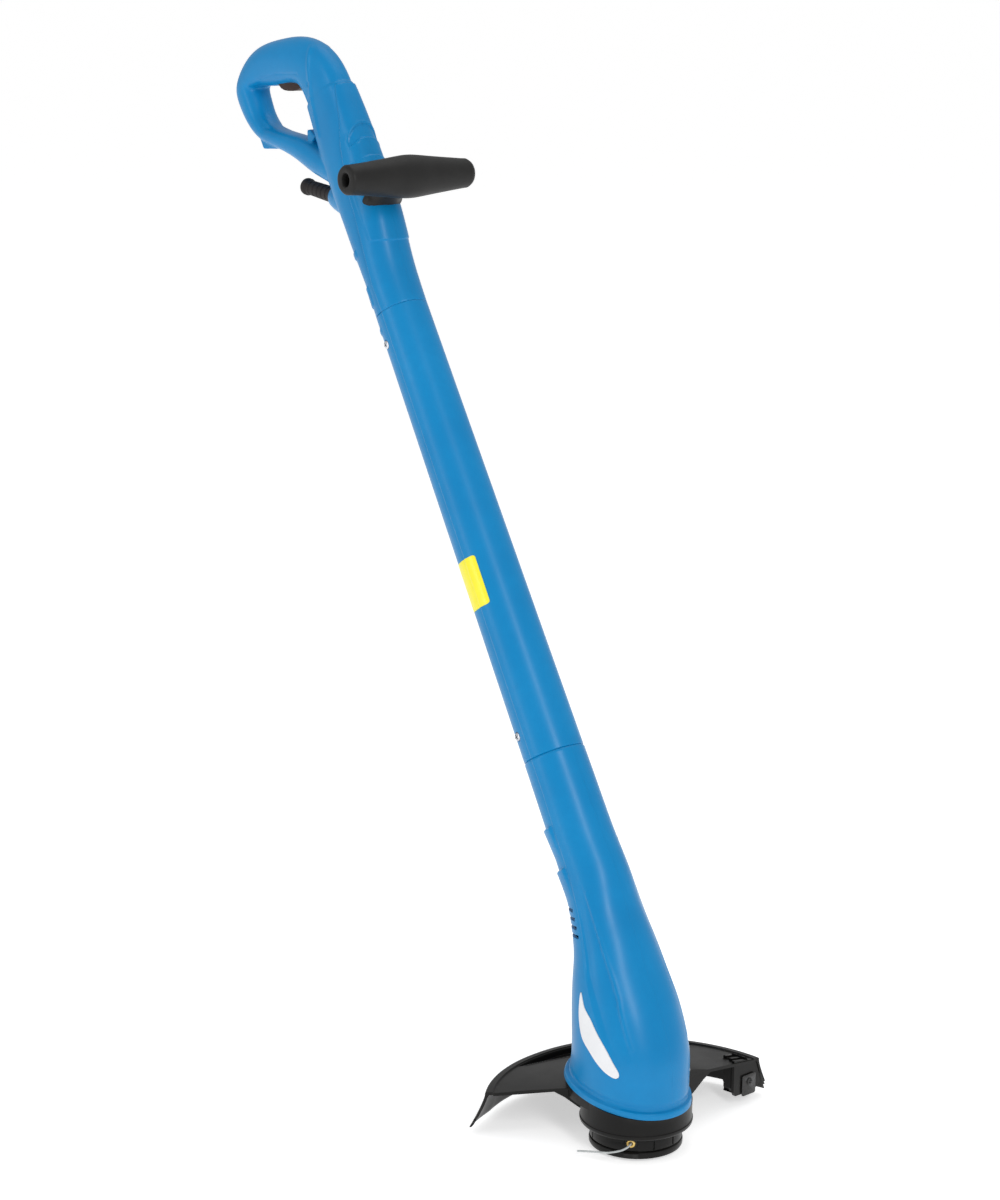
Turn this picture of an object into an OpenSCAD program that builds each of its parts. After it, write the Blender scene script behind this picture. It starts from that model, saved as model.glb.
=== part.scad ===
// String trimmer: D handle, tapered shaft, leaning motor head, guard and bump-feed line spool.
// Millimetres. Z is the spin axis, the spool stands on Z = 0, the front is -Y, the shaft leans to +Y.

/* [Shaft] */
// lean of the shaft back from the spin axis, degrees
shaft_lean = 31.4; // [28:0.2:35]
// height where the shaft axis crosses the spin axis
axis_z = 121; // [118:1:124]
// distance along the shaft axis to its lower end
tube_s0 = 208; // [204:1:212]
// distance along the shaft axis to its upper end
tube_s1 = 603; // [520:5:680]
// outer radius of the shaft at its lower end
tube_r0 = 25.2; // [24:0.2:27]
// outer radius of the shaft at its upper end
tube_r1 = 22.2; // [21:0.2:23.4]
// shaft wall
tube_wall = 2.3; // [1.8:0.1:2.8]

/* [Shells] */
// wall of the moulded shells
shell_wall = 2.5; // [2:0.1:3]
// shank radius of the shell screws
screw_r = 1.6; // [1.3:0.1:2]
// head radius of the shell screws
screw_head_r = 3.2; // [2.8:0.1:3.4]

/* [Front grip] */
// length of the front grip
grip_len = 128; // [100:2:150]
// radius of the front grip at its middle
grip_r_mid = 18; // [15:0.5:20]
// radius of the front grip at its ends
grip_r_end = 12; // [10:0.5:14]
// distance of the front grip axis from the shaft axis
grip_n = 66; // [60:1:72]

/* [Trigger] */
// width of the trigger
trigger_w = 12; // [9:0.5:13]
// pull of the trigger, degrees
trigger_pull = 8; // [5:0.5:8]

/* [Cord sleeve] */
// radius of the cord opening in the sleeve
cord_r = 3.6; // [2.8:0.1:4.4]
// radius of the sleeve
sleeve_r = 6; // [5.4:0.1:6.6]
// length of the sleeve outside the handle
sleeve_out = 45; // [30:1:60]

/* [Motor] */
// radius of the motor can
can_r = 22.2; // [20:0.2:22.8]
// length of the motor can
can_len = 57; // [50:1:58]
// radius of the motor shaft
shaft_r = 2.5; // [2:0.1:3]
// radial running clearance of the motor shaft
run_gap = 0.05; // [0.02:0.01:0.09]
// radius of the cooling fan
fan_r = 28; // [22:1:32]

/* [Spool] */
// radius of the spool housing
spool_r = 37.4; // [34:0.2:38]
// radius of the bump button
button_r = 20; // [16:0.5:24]
// travel of the bump feed
bump_travel = 3.5; // [2:0.5:3.5]
// diameter of the cutting line
line_d = 1.6; // [1.2:0.1:2]

/* [Guard] */
// radius of the guard rim
guard_r = 132; // [122:1:142]
// angle swept by the guard, degrees
guard_span = 132; // [110:1:140]
// how far the skirt's lower edge stands outside its top edge
skirt_flare = 6.5; // [0:0.5:9]
// clear ring between the spool and the guard's collar
collar_gap = 3.6; // [2.4:0.2:4.6]

/* [Hidden] */

$fn = 48;
blue = [0.10, 0.42, 0.72];
black = [0.10, 0.10, 0.10];
steel = [0.70, 0.71, 0.72];
ring_n = 28;
far = 400;

// fits between neighbouring pieces
parting = 0.05;
slip = 0.1;
screw_gap = 0.05;
move_gap = 0.3;

// ---- shaft frame: local Z runs up the shaft, local -Y faces the front ----
module on_shaft(s = 0, n = 0) {
    translate([0, 0, axis_z]) rotate([-shaft_lean, 0, 0]) translate([0, -n, s]) children();
}

// ---- lofts: section = [y, z, tilt, half width, front depth, back depth, squareness] ----
function sgn_pow(v, e) = sign(v) * pow(abs(v), e);
function loft_ring(c, d) = [for (i = [0 : ring_n - 1])
    let (a = 360 * i / ring_n,
         x = (c[3] - d) * sgn_pow(cos(a), 2 / c[6]),
         v = (sin(a) < 0 ? c[4] - d : c[5] - d) * sgn_pow(sin(a), 2 / c[6]))
    [x, c[0] + v * cos(c[2]), c[1] - v * sin(c[2])]];
function loft_sides(m) = [for (k = [0 : m - 2], i = [0 : ring_n - 1], t = [0, 1])
    let (j = (i + 1) % ring_n, a = k * ring_n, b = a + ring_n)
    t == 0 ? [a + i, b + i, a + j] : [b + i, b + j, a + j]];
module loft(sections, d = 0) {
    m = len(sections);
    low = [for (i = [0 : ring_n - 1]) i];
    high = [for (i = [ring_n - 1 : -1 : 0]) (m - 1) * ring_n + i];
    polyhedron([for (c = sections) each loft_ring(c, d)], concat([low], loft_sides(m), [high]));
}
module left_half() {
    intersection() {
        children();
        translate([-far - parting, -far, -far]) cube([far, 3 * far, 4 * far]);
    }
}
module right_half() {
    intersection() {
        children();
        translate([parting, -far, -far]) cube([far, 3 * far, 4 * far]);
    }
}
module rod_x(r, x0, x1) {
    translate([x0, 0, 0]) rotate([0, 90, 0]) cylinder(r = r, h = x1 - x0);
}

// ---- handle ----
joint_r = tube_r1;
column = [[0, tube_s1, 0, joint_r, joint_r, joint_r, 2],
          [0, tube_s1 + 37, 0, 22, 22.5, 22.5, 2.05],
          [0, tube_s1 + 62, 0, 21.8, 26, 23, 2.2],
          [0, tube_s1 + 87, 0, 21.3, 29.6, 23, 2.35],
          [0, tube_s1 + 117, 0, 20, 31, 24, 2.5],
          [0, tube_s1 + 142, 0, 18, 31.6, 25, 2.7],
          [0, tube_s1 + 172, 0, 16.3, 31, 23, 2.9],
          [0, tube_s1 + 200, 0, 15.4, 29, 21, 2.9]];
// the D: up the column, back along the top bar, down the rear post, forward along the lower bar
dz = tube_s1 - 603;
d_ring = [[-2, 745 + dz, 0, 16, 24, 22, 2.6],
          [-2, 790 + dz, 4, 15.2, 26.5, 21, 2.6],
          [2, 821 + dz, 27, 15.2, 27, 20, 2.5],
          [13, 838 + dz, 48, 15, 25.5, 16, 2.4],
          [38, 858 + dz, 62, 15, 21.3, 20, 2.4],
          [67, 868 + dz, 80, 15, 18.6, 16.5, 2.4],
          [85.5, 866 + dz, 120, 14.8, 17.2, 10, 2.4],
          [96, 862 + dz, 158, 14.5, 15, 11, 2.4],
          [98.5, 850 + dz, 180, 14, 14, 12, 2.3],
          [98.5, 838 + dz, 188, 13.8, 11.3, 11, 2.3],
          [92, 822 + dz, 206, 13.5, 11, 7.8, 2.3],
          [75, 803 + dz, 221, 13, 9.4, 7.6, 2.3],
          [52, 782 + dz, 222, 13.5, 11.6, 10, 2.3],
          [34, 761 + dz, 220, 15, 12.6, 12.6, 2.3],
          [16, 742 + dz, 215, 16.5, 12.6, 14, 2.3],
          [0, 722 + dz, 205, 17, 13, 15, 2.3]];
// the loop is hollow over the trigger up to this section, and solid from there on
ring_hollow = 6;
// trigger frame: Y along the underside of the top bar, Z into the bar
trigger_s = 834 + dz;
trigger_n = -38;
trigger_turn = 28;
module at_trigger() { on_shaft(trigger_s, trigger_n) rotate([trigger_turn, 0, 0]) children(); }
pivot_y = 14;
pivot_z = 7;
pin_r = 1.5;
plunger_y = -6;
plunger_r = 2;
// cord gland: leaves the back of the handle
gland_s = 716 + dz;
gland_n = -20;
gland_tilt = 52;
module at_gland() { on_shaft(gland_s, gland_n) rotate([-gland_tilt, 0, 0]) children(); }
gland_r = 10.4;
gland_len = 17;
// screw positions [s, n, half width inside]
handle_screw_at = [[tube_s1 + 42, -9, 17.5], [tube_s1 + 92, -10, 16.5], [tube_s1 + 158, 8, 12.5],
                   [tube_s1 + 224, 4, 9], [tube_s1 + 262, -84, 10], [tube_s1 + 182, -56, 9]];
boss_r = 4.2;
head_h = 2.2;
module handle_outer() {
    union() {
        on_shaft() {
            loft(column);
            loft(d_ring);
            translate([0, 0, tube_s1 - 40]) cylinder(r = neck_r, h = 41);
        }
        at_gland() cylinder(r = gland_r, h = gland_len);
        at_gland() translate([0, 0, -8]) cylinder(r1 = gland_r + 5, r2 = gland_r, h = gland_len + 4);
    }
}
neck_r = tube_r1 - tube_wall - slip;
module handle_inner() {
    on_shaft() {
        difference() {
            union() {
                loft([for (i = [0 : len(column) - 1]) let (c = column[i])
                    [c[0], c[1] + (i == 0 ? -0.5 : i == len(column) - 1 ? -shell_wall : 0),
                     c[2], c[3], c[4], c[5], c[6]]], shell_wall);
                loft([for (i = [0 : ring_hollow]) d_ring[i]], shell_wall);
                translate([0, 0, tube_s1 - 41]) cylinder(r = neck_r - shell_wall, h = 42);
            }
            for (p = handle_screw_at) translate([0, -p[1], p[0]]) rod_x(boss_r, -30, 30);
            for (x = [-11, 4]) translate([x, -30, clamp_s - 4]) cube([7, 24.9, 8]);
        }
    }
}
module handle_body() {
    difference() {
        handle_outer();
        difference() {
            handle_inner();
            at_trigger() {
                rod_x_pivot(trigger_w / 2 + 0.8, 30);
                rod_x_pivot(-30, -trigger_w / 2 - 0.8);
                switch_ribs();
            }
        }
        at_trigger() {
            translate([-trigger_w / 2 - 0.5, -20, -12]) cube([trigger_w + 1, 38.5, 20.5]);
            translate([-trigger_w / 2 - 1.8, -19.8, 3.8]) cube([trigger_w + 3.6, 27.6, 4.7]);
            rod_x_pin();
        }
        at_gland() {
            translate([0, 0, -10]) cylinder(r = sleeve_r - 0.9, h = gland_len + 20);
            translate([0, 0, gland_len - 6]) cylinder(r = sleeve_r + 2 + slip, h = 3);
        }
        tube_screw_hole(tube_s1 - 26);
        on_shaft(clamp_s, 2) for (x = [-7.5, 7.5]) translate([x, 0, 0]) rotate([90, 0, 0])
            cylinder(r = screw_r + screw_gap, h = 13);
        on_shaft() translate([0, -grip_foot_n + 10, grip_s]) rotate([90, 0, 0]) {
            cylinder(r = screw_r + 0.6, h = 40, center = true);
        }
    }
}
module rod_x_pivot(x0, x1) {
    translate([0, pivot_y, pivot_z]) rod_x(pin_r + 2.2, x0, x1);
}
module rod_x_pin() {
    translate([0, pivot_y, pivot_z]) rod_x(pin_r + screw_gap, -11, 11);
}
switch_x = 8;
module switch_ribs() {
    for (y = [-16, 2]) translate([-30, y, 15]) difference() {
        cube([60, 3, 12]);
        translate([30 - switch_x - slip, -1, -1]) cube([2 * (switch_x + slip), 5, 14]);
    }
}
module screw_cuts(side_x) {
    for (p = handle_screw_at) on_shaft(p[0], p[1]) {
        rod_x(screw_r + screw_gap, -p[2] + 1, 40);
        rod_x(screw_head_r + screw_gap, p[2] - head_h, 40);
    }
}
module handle_shell_left() {
    color(blue) left_half() difference() {
        handle_body();
        screw_cuts();
    }
}
module handle_shell_right() {
    color(blue) right_half() difference() {
        handle_body();
        screw_cuts();
    }
}
module shell_screw(x_tip, x_head) {
    rod_x(screw_r, x_tip, x_head);
    difference() {
        rod_x(screw_head_r, x_head - head_h, x_head);
        for (a = [0, 90]) rotate([a, 0, 0])
            translate([x_head - 1, -screw_head_r * 0.65, -0.4]) cube([2, screw_head_r * 1.3, 0.8]);
    }
}
module handle_screws() {
    color(steel) for (p = handle_screw_at) on_shaft(p[0], p[1]) shell_screw(-p[2] + 1.5, p[2]);
}

// ---- trigger and switch ----
module trigger() {
    color([0.18, 0.12, 0.10]) at_trigger() difference() {
        union() {
            translate([-trigger_w / 2, 0, 0]) rotate([90, 0, 90]) linear_extrude(trigger_w)
                polygon([[-19, 3.4], [-18.8, 1.5], [-15.5, -1.2], [-10, -3.2], [-4, -4], [3, -3.9],
                         [9, -3.2], [13.5, -1.6], [16.4, 0.8], [17, 3.4], [17, 6], [17.2, 10], [10.6, 10],
                         [9, 6.6], [-19, 6.6]]);
            translate([-trigger_w / 2 - 1.5, -19, 4.1]) cube([trigger_w + 3, 26, 2.2]);
        }
        translate([0, pivot_y, pivot_z]) rod_x(pin_r + run_gap, -10, 10);
    }
}
module trigger_pin() {
    color(steel) at_trigger() translate([0, pivot_y, pivot_z]) rod_x(pin_r, -10.8, 10.8);
}
spring_y = -13;
spring_wire = 0.5;
switch_z = 13.2;
coil_n = 6;
module coil(r, wire, h, turns) {
    steps = turns * 14;
    points = [for (k = [0 : steps], i = [0 : coil_n - 1])
        let (a = 360 * turns * k / steps, b = 360 * i / coil_n, q = r + wire * cos(b))
        [q * cos(a), q * sin(a), wire + (h - 2 * wire) * k / steps + wire * sin(b)]];
    sides = [for (k = [0 : steps - 1], i = [0 : coil_n - 1], t = [0, 1])
        let (j = (i + 1) % coil_n, a = k * coil_n, b = a + coil_n)
        t == 0 ? [a + i, a + j, b + i] : [b + i, a + j, b + j]];
    start = [for (i = [coil_n - 1 : -1 : 0]) i];
    finish = [for (i = [0 : coil_n - 1]) steps * coil_n + i];
    polyhedron(points, concat([start], sides, [finish]));
}
module trigger_spring() {
    color(steel) at_trigger() translate([0, spring_y, 6.7])
        coil(2.3, spring_wire, switch_z - 6.8, 4);
}
module switch_body() {
    color(black) at_trigger() difference() {
        union() {
            translate([-switch_x, -17, switch_z]) cube([2 * switch_x, 26, 14]);
            for (y = [-12, 2]) translate([-3, y, switch_z + 14]) cube([6, 4, 3.5]);
        }
        translate([0, plunger_y, switch_z - 1]) cylinder(r = plunger_r + 0.1, h = 11);
    }
}
module switch_plunger() {
    color([0.75, 0.1, 0.08]) at_trigger() translate([0, plunger_y, 6.6 + move_gap])
        cylinder(r = plunger_r, h = switch_z - 6.6 + 5);
}

// ---- cord sleeve and clamp ----
sleeve_z0 = 2;
module cord_sleeve() {
    color(black) at_gland() difference() {
        union() {
            translate([0, 0, sleeve_z0]) cylinder(r = sleeve_r - 1, h = gland_len - sleeve_z0);
            translate([0, 0, gland_len - 5.9]) cylinder(r = sleeve_r + 2, h = 2.8);
            translate([0, 0, gland_len]) cylinder(r1 = sleeve_r + 0.8, r2 = sleeve_r, h = sleeve_out);
            translate([0, 0, gland_len + sleeve_out - 4]) rotate_extrude()
                translate([sleeve_r - 0.8, 0]) circle(r = 2, $fn = 24);
        }
        translate([0, 0, -5]) cylinder(r = cord_r, h = gland_len + sleeve_out + 20);
    }
}
clamp_s = tube_s1 + 88;
clamp_x = 11;
module cord_clamp() {
    color(black) on_shaft(clamp_s, 2) difference() {
        translate([-clamp_x, -3, -4]) cube([2 * clamp_x, 6, 8]);
        translate([0, -3, 0]) cylinder(r = cord_r, h = 20, center = true);
        for (x = [-7.5, 7.5]) translate([x, 0, 0]) rotate([90, 0, 0])
            cylinder(r = screw_r + screw_gap, h = 20, center = true);
    }
}
module cord_clamp_screws() {
    color(steel) on_shaft(clamp_s, 2) for (x = [-7.5, 7.5]) translate([x, 0, 0]) {
        translate([0, 3, 0]) rotate([90, 0, 0]) cylinder(r = screw_r, h = 15);
        translate([0, 4.82, 0]) rotate([90, 0, 0]) cylinder(r = screw_head_r - 0.4, h = 1.8);
    }
}

// ---- front grip ----
grip_s = tube_s1 + 91;
grip_foot_n = 27;
grip_hole_r = 5.6;
module front_grip() {
    color(black) on_shaft(grip_s, grip_n) difference() {
        rotate([0, 90, 0]) rotate_extrude() polygon([[0, -grip_len / 2],
            [grip_r_end - 2, -grip_len / 2], [grip_r_end - 0.5, -grip_len / 2 + 0.6],
            [grip_r_end, -grip_len / 2 + 2.4], [grip_r_mid - 1.4, -14], [grip_r_mid - 0.3, -5],
            [grip_r_mid, 0], [grip_r_mid - 0.3, 5], [grip_r_mid - 1.4, 14],
            [grip_r_end, grip_len / 2 - 4], [grip_r_end - 1, grip_len / 2 - 1.6],
            [grip_r_end - 3.4, grip_len / 2], [0, grip_len / 2]]);
        rod_x(grip_hole_r, -grip_len / 2 - 1, -16);
        rotate([90, 0, 0]) translate([0, 0, -grip_r_mid - 1]) cylinder(r = foot_peg_r + slip, h = 15);
        rotate([90, 0, 0]) cylinder(r = screw_r, h = 28, center = true);
    }
}
foot_peg_r = 7;
// the foot is flattened along the shaft
foot_flat = 0.57;
module grip_foot() {
    color(black) on_shaft(grip_s, grip_foot_n) difference() {
        union() {
            difference() {
                rotate([90, 0, 0]) translate([0, 0, -13]) scale([1, foot_flat, 1])
                    cylinder(r1 = 16, r2 = 12.8, h = grip_n - grip_foot_n + 9);
                translate([0, -(grip_n - grip_foot_n), 0])
                    rod_x(grip_r_mid + 0.1, -40, 40);
            }
            rotate([90, 0, 0]) translate([0, 0, 2])
                cylinder(r = foot_peg_r, h = grip_n - grip_foot_n - 6.6);
        }
        translate([0, grip_foot_n, -grip_s]) loft(column, -slip);
        rotate([90, 0, 0]) translate([0, 0, -1])
            cylinder(r = screw_r + screw_gap, h = grip_n);
    }
}
module grip_screw() {
    color(steel) on_shaft(grip_s, grip_foot_n) rotate([90, 0, 0]) {
        translate([0, 0, -4]) cylinder(r = screw_r, h = grip_n - grip_foot_n + 14);
        translate([0, 0, -6]) cylinder(r = screw_head_r, h = 2.2);
    }
}

// ---- shaft ----
function tube_r(s) = tube_r0 + (tube_r1 - tube_r0) * (s - tube_s0) / (tube_s1 - tube_s0);
tube_len = tube_s1 - tube_s0;
module shaft_tube() {
    color(blue) difference() {
        on_shaft(tube_s0 + parting) difference() {
            cylinder(r1 = tube_r0, r2 = tube_r1, h = tube_len - 2 * parting, $fn = 96);
            translate([0, 0, -0.01]) cylinder(r1 = tube_r0 - tube_wall, r2 = tube_r1 - tube_wall,
                h = tube_len, $fn = 96);
        }
        tube_screw_hole(tube_s0 + 22);
        tube_screw_hole(tube_s1 - 26);
    }
}
tube_screw_n = -7;
tube_screw_head_r = 3.4;
function screw_seat(s) = sqrt(pow(tube_r(s), 2) - pow(tube_screw_n, 2));
module tube_screw_hole(s) {
    on_shaft(s, tube_screw_n) {
        rod_x(screw_r + screw_gap, -screw_seat(s) - 5, -screw_seat(s) + 14);
        rod_x(tube_screw_head_r + screw_gap, -screw_seat(s) - 5, -screw_seat(s));
    }
}
module tube_screws() {
    color(steel) for (s = [tube_s0 + 22, tube_s1 - 26])
        on_shaft(s, tube_screw_n) let (x = screw_seat(s)) {
            rod_x(screw_r, -x, -x + 9);
            rod_x(tube_screw_head_r, -x - 1.3, -x - 0.02);
        }
}
label_s0 = tube_s0 + 131;
label_len = 42;
module tube_label() {
    color([0.95, 0.9, 0.1]) on_shaft(label_s0) intersection() {
        difference() {
            cylinder(r1 = tube_r(label_s0) + 0.4, r2 = tube_r(label_s0 + label_len) + 0.4,
                h = label_len, $fn = 96);
            translate([0, 0, -0.01]) cylinder(r1 = tube_r(label_s0), h = label_len + 0.02,
                r2 = tube_r(label_s0 + label_len), $fn = 96);
        }
        translate([-40, -12.5, -1]) cube([40, 25, label_len + 2]);
    }
}
lead_r = 3;
module motor_lead() {
    color([0.15, 0.15, 0.16]) on_shaft(tube_s0 - 60, 2)
        cylinder(r = lead_r, h = tube_len + 125);
}

// ---- motor housing ----
dt = tube_s0 - 208;
function on_axis(s) = [s * sin(shaft_lean), axis_z + s * cos(shaft_lean)];
function tube_sec(s, r, p) = let (q = on_axis(s)) [q[0], q[1], shaft_lean, r, r, r, p];
housing = [[11, 45, -8, 45.5, 57, 57, 2.1],
           [11, 51, -7, 45.2, 56.6, 56.6, 2.1],
           [9.5, 58, -5, 43, 52.5, 51.5, 2.1],
           [8.5, 78, 0, 43.6, 49.5, 48.5, 2.15],
           [12, 100, 4, 43, 45.5, 45, 2.15],
           [17.5, 120, 9, 41, 41, 40.5, 2.15],
           [24.5, 140, 14, 38, 35.5, 34.5, 2.15],
           [31.5, 160, 20, 34, 31.5, 30, 2.1],
           [40, 180, 26, 31, 28, 27.5, 2.05],
           tube_sec(99 + dt * 0.5, 27.8, 2.05),
           tube_sec(130 + dt * 0.6, 26.6, 2),
           tube_sec(165 + dt * 0.8, 25.9, 2),
           tube_sec(tube_s0, tube_r0 + 0.2, 2)];
flange_turn = 8;
flange_z = 45;
// everything above the sloping mating plane of the flange
module above_flange(gap = 0) {
    translate([0, 11, flange_z + gap]) rotate([flange_turn, 0, 0])
        translate([-far / 2, -far / 2, 0]) cube([far, far, far]);
}
socket_r = tube_r0 - tube_wall - slip;
housing_screw_at = [[-can_r - 2.8, 64, 31.5], [50, 72, 24.5], [44, 146, 29], [56.5, 236.5, 22.5]];
base_screw_at = [[-31, 42], [31, 42]];
module housing_body() {
    difference() {
        union() {
            loft(housing);
            on_shaft(tube_s0 - 1) cylinder(r1 = socket_r + 0.01, r2 = tube_r(tube_s0 + 40) - tube_wall - slip,
                h = 41);
        }
        difference() {
            loft([for (i = [0 : len(housing) - 1]) let (c = housing[i])
                i == 0 ? [c[0], c[1] - 1, c[2], c[3], c[4], c[5], c[6]] : c], shell_wall);
            motor_cradle();
            for (p = housing_screw_at) translate([0, p[0], p[1]]) rod_x(boss_r, -50, 50);
            for (p = base_screw_at) translate([p[0], p[1], 40]) cylinder(r = 5, h = 24);
        }
        on_shaft(tube_s0 - 4) cylinder(r = socket_r - shell_wall, h = 50);
        translate([0, 0, 44]) cylinder(r = can_r + slip, h = can_len + 10);
        for (k = [0 : 3], side = [0, 1]) mirror([side, 0, 0]) vent_slot(k);
        for (p = base_screw_at) translate([p[0], p[1], 30]) cylinder(r = screw_r + screw_gap, h = 30);
        tube_screw_hole(tube_s0 + 22);
        inlay_zone(-1, slip);
        inlay_zone(1, slip);
    }
}
module vent_slot(k) {
    on_shaft(67 + k * 7.2, -19) rotate([24, 0, 0])
        translate([8, -14, -1.5]) cube([52, 28, 3]);
}
can_z0 = 52;
module motor_cradle() {
    for (z = [can_z0 + 5, can_z0 + can_len - 12]) difference() {
        translate([-48, -60, z]) cube([96, 140, 3]);
        translate([0, 0, z - 1]) cylinder(r = can_r + slip, h = 5);
        translate([0, 50, z - 1]) cylinder(r = 18, h = 5);
    }
}
module housing_cuts() {
    for (p = housing_screw_at) translate([0, p[0], p[1]]) {
        rod_x(screw_r + screw_gap, -p[2] + 1, 60);
        rod_x(screw_head_r + screw_gap, p[2] - head_h, 60);
    }
}
module motor_housing_left() {
    color(blue) left_half() difference() {
        housing_body();
        housing_cuts();
    }
}
module motor_housing_right() {
    color(blue) right_half() difference() {
        housing_body();
        housing_cuts();
    }
}
module housing_screws() {
    color(steel) for (p = housing_screw_at) translate([0, p[0], p[1]])
        shell_screw(-p[2] + 1.5, p[2]);
}
// crescent panel on each side of the housing
inlay_shape = [[24, 130], [18, 120], [9, 112], [2, 104], [-7, 94], [-14, 84.5], [-20, 75], [-18, 70.5],
               [-10, 73], [-1, 79], [8, 86.5], [17, 94], [22, 104], [24.5, 116]];
inlay_deep = 1.4;
module inlay_zone(side, grow) {
    difference() {
        translate([side > 0 ? 20 : -60, 0, 0]) rotate([90, 0, 90]) linear_extrude(40)
            polygon([for (p = inlay_shape) [5 + (p[0] - 5) * (1 + grow / 22),
                98 + (p[1] - 98) * (1 + grow / 30)]]);
        loft(housing, inlay_deep - (grow > 0 ? 0 : 0.05));
    }
}
module side_inlay(side) {
    intersection() {
        inlay_zone(side, 0);
        loft(housing, -0.3);
    }
}
module side_inlay_left() { color([0.92, 0.92, 0.9]) side_inlay(-1); }
module side_inlay_right() { color([0.92, 0.92, 0.9]) side_inlay(1); }

// ---- motor ----
can_wall = 1.5;
can_z1 = can_z0 + can_len;
magnet_t = 3.4;
core_r = can_r - can_wall - magnet_t - 0.6;
bearing_r = 6;
bearing_h = 4;
module motor_can() {
    color(steel) difference() {
        union() {
            translate([0, 0, can_z0]) cylinder(r = can_r, h = can_len);
            translate([0, 0, can_z0 - 3]) cylinder(r = bearing_r + 1.5, h = 4);
        }
        translate([0, 0, can_z0 + can_wall]) cylinder(r = can_r - can_wall, h = can_len);
        translate([0, 0, can_z0 - 1.6]) cylinder(r = bearing_r, h = bearing_h);
        translate([0, 0, can_z0 - 5]) cylinder(r = shaft_r + 1, h = 12);
    }
}
module motor_magnets() {
    color([0.2, 0.2, 0.21]) for (a = [0, 180]) rotate([0, 0, a - 62])
        translate([0, 0, can_z0 + 9]) rotate_extrude(angle = 124)
            translate([can_r - can_wall - magnet_t, 0]) square([magnet_t, 34]);
}
module motor_end_cap() {
    color(black) difference() {
        union() {
            translate([0, 0, can_z1]) cylinder(r = can_r - 0.2, h = 3);
            translate([0, 0, can_z1 + 3]) cylinder(r = bearing_r + 2, h = 3.4);
            for (x = [comm_r + 2, -brush_x]) translate([x, -3.6, can_z1 - 11])
                cube([brush_x - comm_r - 2, 7.2, 12]);
        }
        translate([0, 0, can_z1 - 1]) cylinder(r = shaft_r + 1, h = 20);
        translate([0, 0, can_z1 + 2.4]) cylinder(r = bearing_r, h = 10);
        for (x = [comm_r + 1, -brush_x - 1]) translate([x, -2.4, can_z1 - 9])
            cube([brush_x - comm_r, 4.8, 6]);
    }
}
comm_r = 6;
// outer end of the brush holders, inside the can
brush_x = can_r - can_wall - 2.7;
brush_len = brush_x - comm_r - move_gap - 2.7;
module carbon_brushes() {
    color([0.12, 0.12, 0.13]) for (x = [-1, 1])
        translate([x > 0 ? comm_r + move_gap : -comm_r - move_gap - brush_len, -2.3, can_z1 - 8.9])
            cube([brush_len, 4.6, 5.8]);
}
module bearing(z) {
    color(steel) translate([0, 0, z]) difference() {
        cylinder(r = bearing_r - 0.02, h = bearing_h);
        translate([0, 0, -1]) cylinder(r = shaft_r + run_gap, h = bearing_h + 2);
    }
}
module lower_bearing() { bearing(can_z0 - 1.6); }
module upper_bearing() { bearing(can_z1 + 2.4); }
module rectifier_block() {
    color(black) translate([-8, 8, can_z1 + 6.6]) cube([16, 12, 6]);
}
hub_z1 = 40;
module motor_shaft() {
    color(steel) translate([0, 0, hub_z1 - 14]) cylinder(r = shaft_r, h = can_z1 + 6 - hub_z1 + 14);
}
core_z0 = can_z0 + 12;
core_h = 26;
module armature_core() {
    color([0.45, 0.45, 0.47]) translate([0, 0, core_z0]) difference() {
        cylinder(r = core_r, h = core_h);
        for (k = [0 : 11]) rotate([0, 0, k * 30]) {
            translate([core_r - 4.5, 0, -1]) cylinder(r = 1.9, h = core_h + 2, $fn = 24);
            translate([core_r - 4.5, -0.7, -1]) cube([8, 1.4, core_h + 2]);
        }
        translate([0, 0, -1]) cylinder(r = shaft_r, h = core_h + 2);
    }
}
module armature_windings() {
    color([0.72, 0.38, 0.16]) for (z = [core_z0 - 6, core_z0 + core_h + 0.1]) translate([0, 0, z])
        rotate_extrude() translate([shaft_r + 0.1, 0])
            polygon([[2, 0], [core_r - 6, 0], [core_r - 4.4, 1.6], [core_r - 4.4, 4.4],
                     [core_r - 6, 5.9], [2, 5.9]]);
}
module commutator() {
    color([0.72, 0.45, 0.2]) translate([0, 0, can_z1 - 10.6]) difference() {
        cylinder(r = comm_r, h = 9);
        translate([0, 0, -1]) cylinder(r = shaft_r, h = 11);
        for (k = [0 : 11]) rotate([0, 0, k * 30 + 15]) translate([comm_r - 0.8, -0.2, -1])
            cube([2, 0.4, 11]);
    }
}
fan_z = 42;
module cooling_fan() {
    color([0.2, 0.2, 0.2]) translate([0, 0, fan_z]) difference() {
        union() {
            cylinder(r = fan_r, h = 1.4);
            cylinder(r = 5.5, h = 6);
            for (k = [0 : 11]) rotate([0, 0, k * 30]) translate([9, -0.6, 1])
                cube([fan_r - 10, 1.2, 4.6]);
        }
        translate([0, 0, -1]) cylinder(r = shaft_r, h = 10);
    }
}

// ---- guard ----
collar_wall = 4;
collar_r = spool_r + collar_gap + collar_wall;
collar_z0 = 20.5;
plate_t = 2.4;
plate_z = 44;
rim_z = 36;
skirt_z0 = 5;
gx = 6;
gy = -6;
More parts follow.
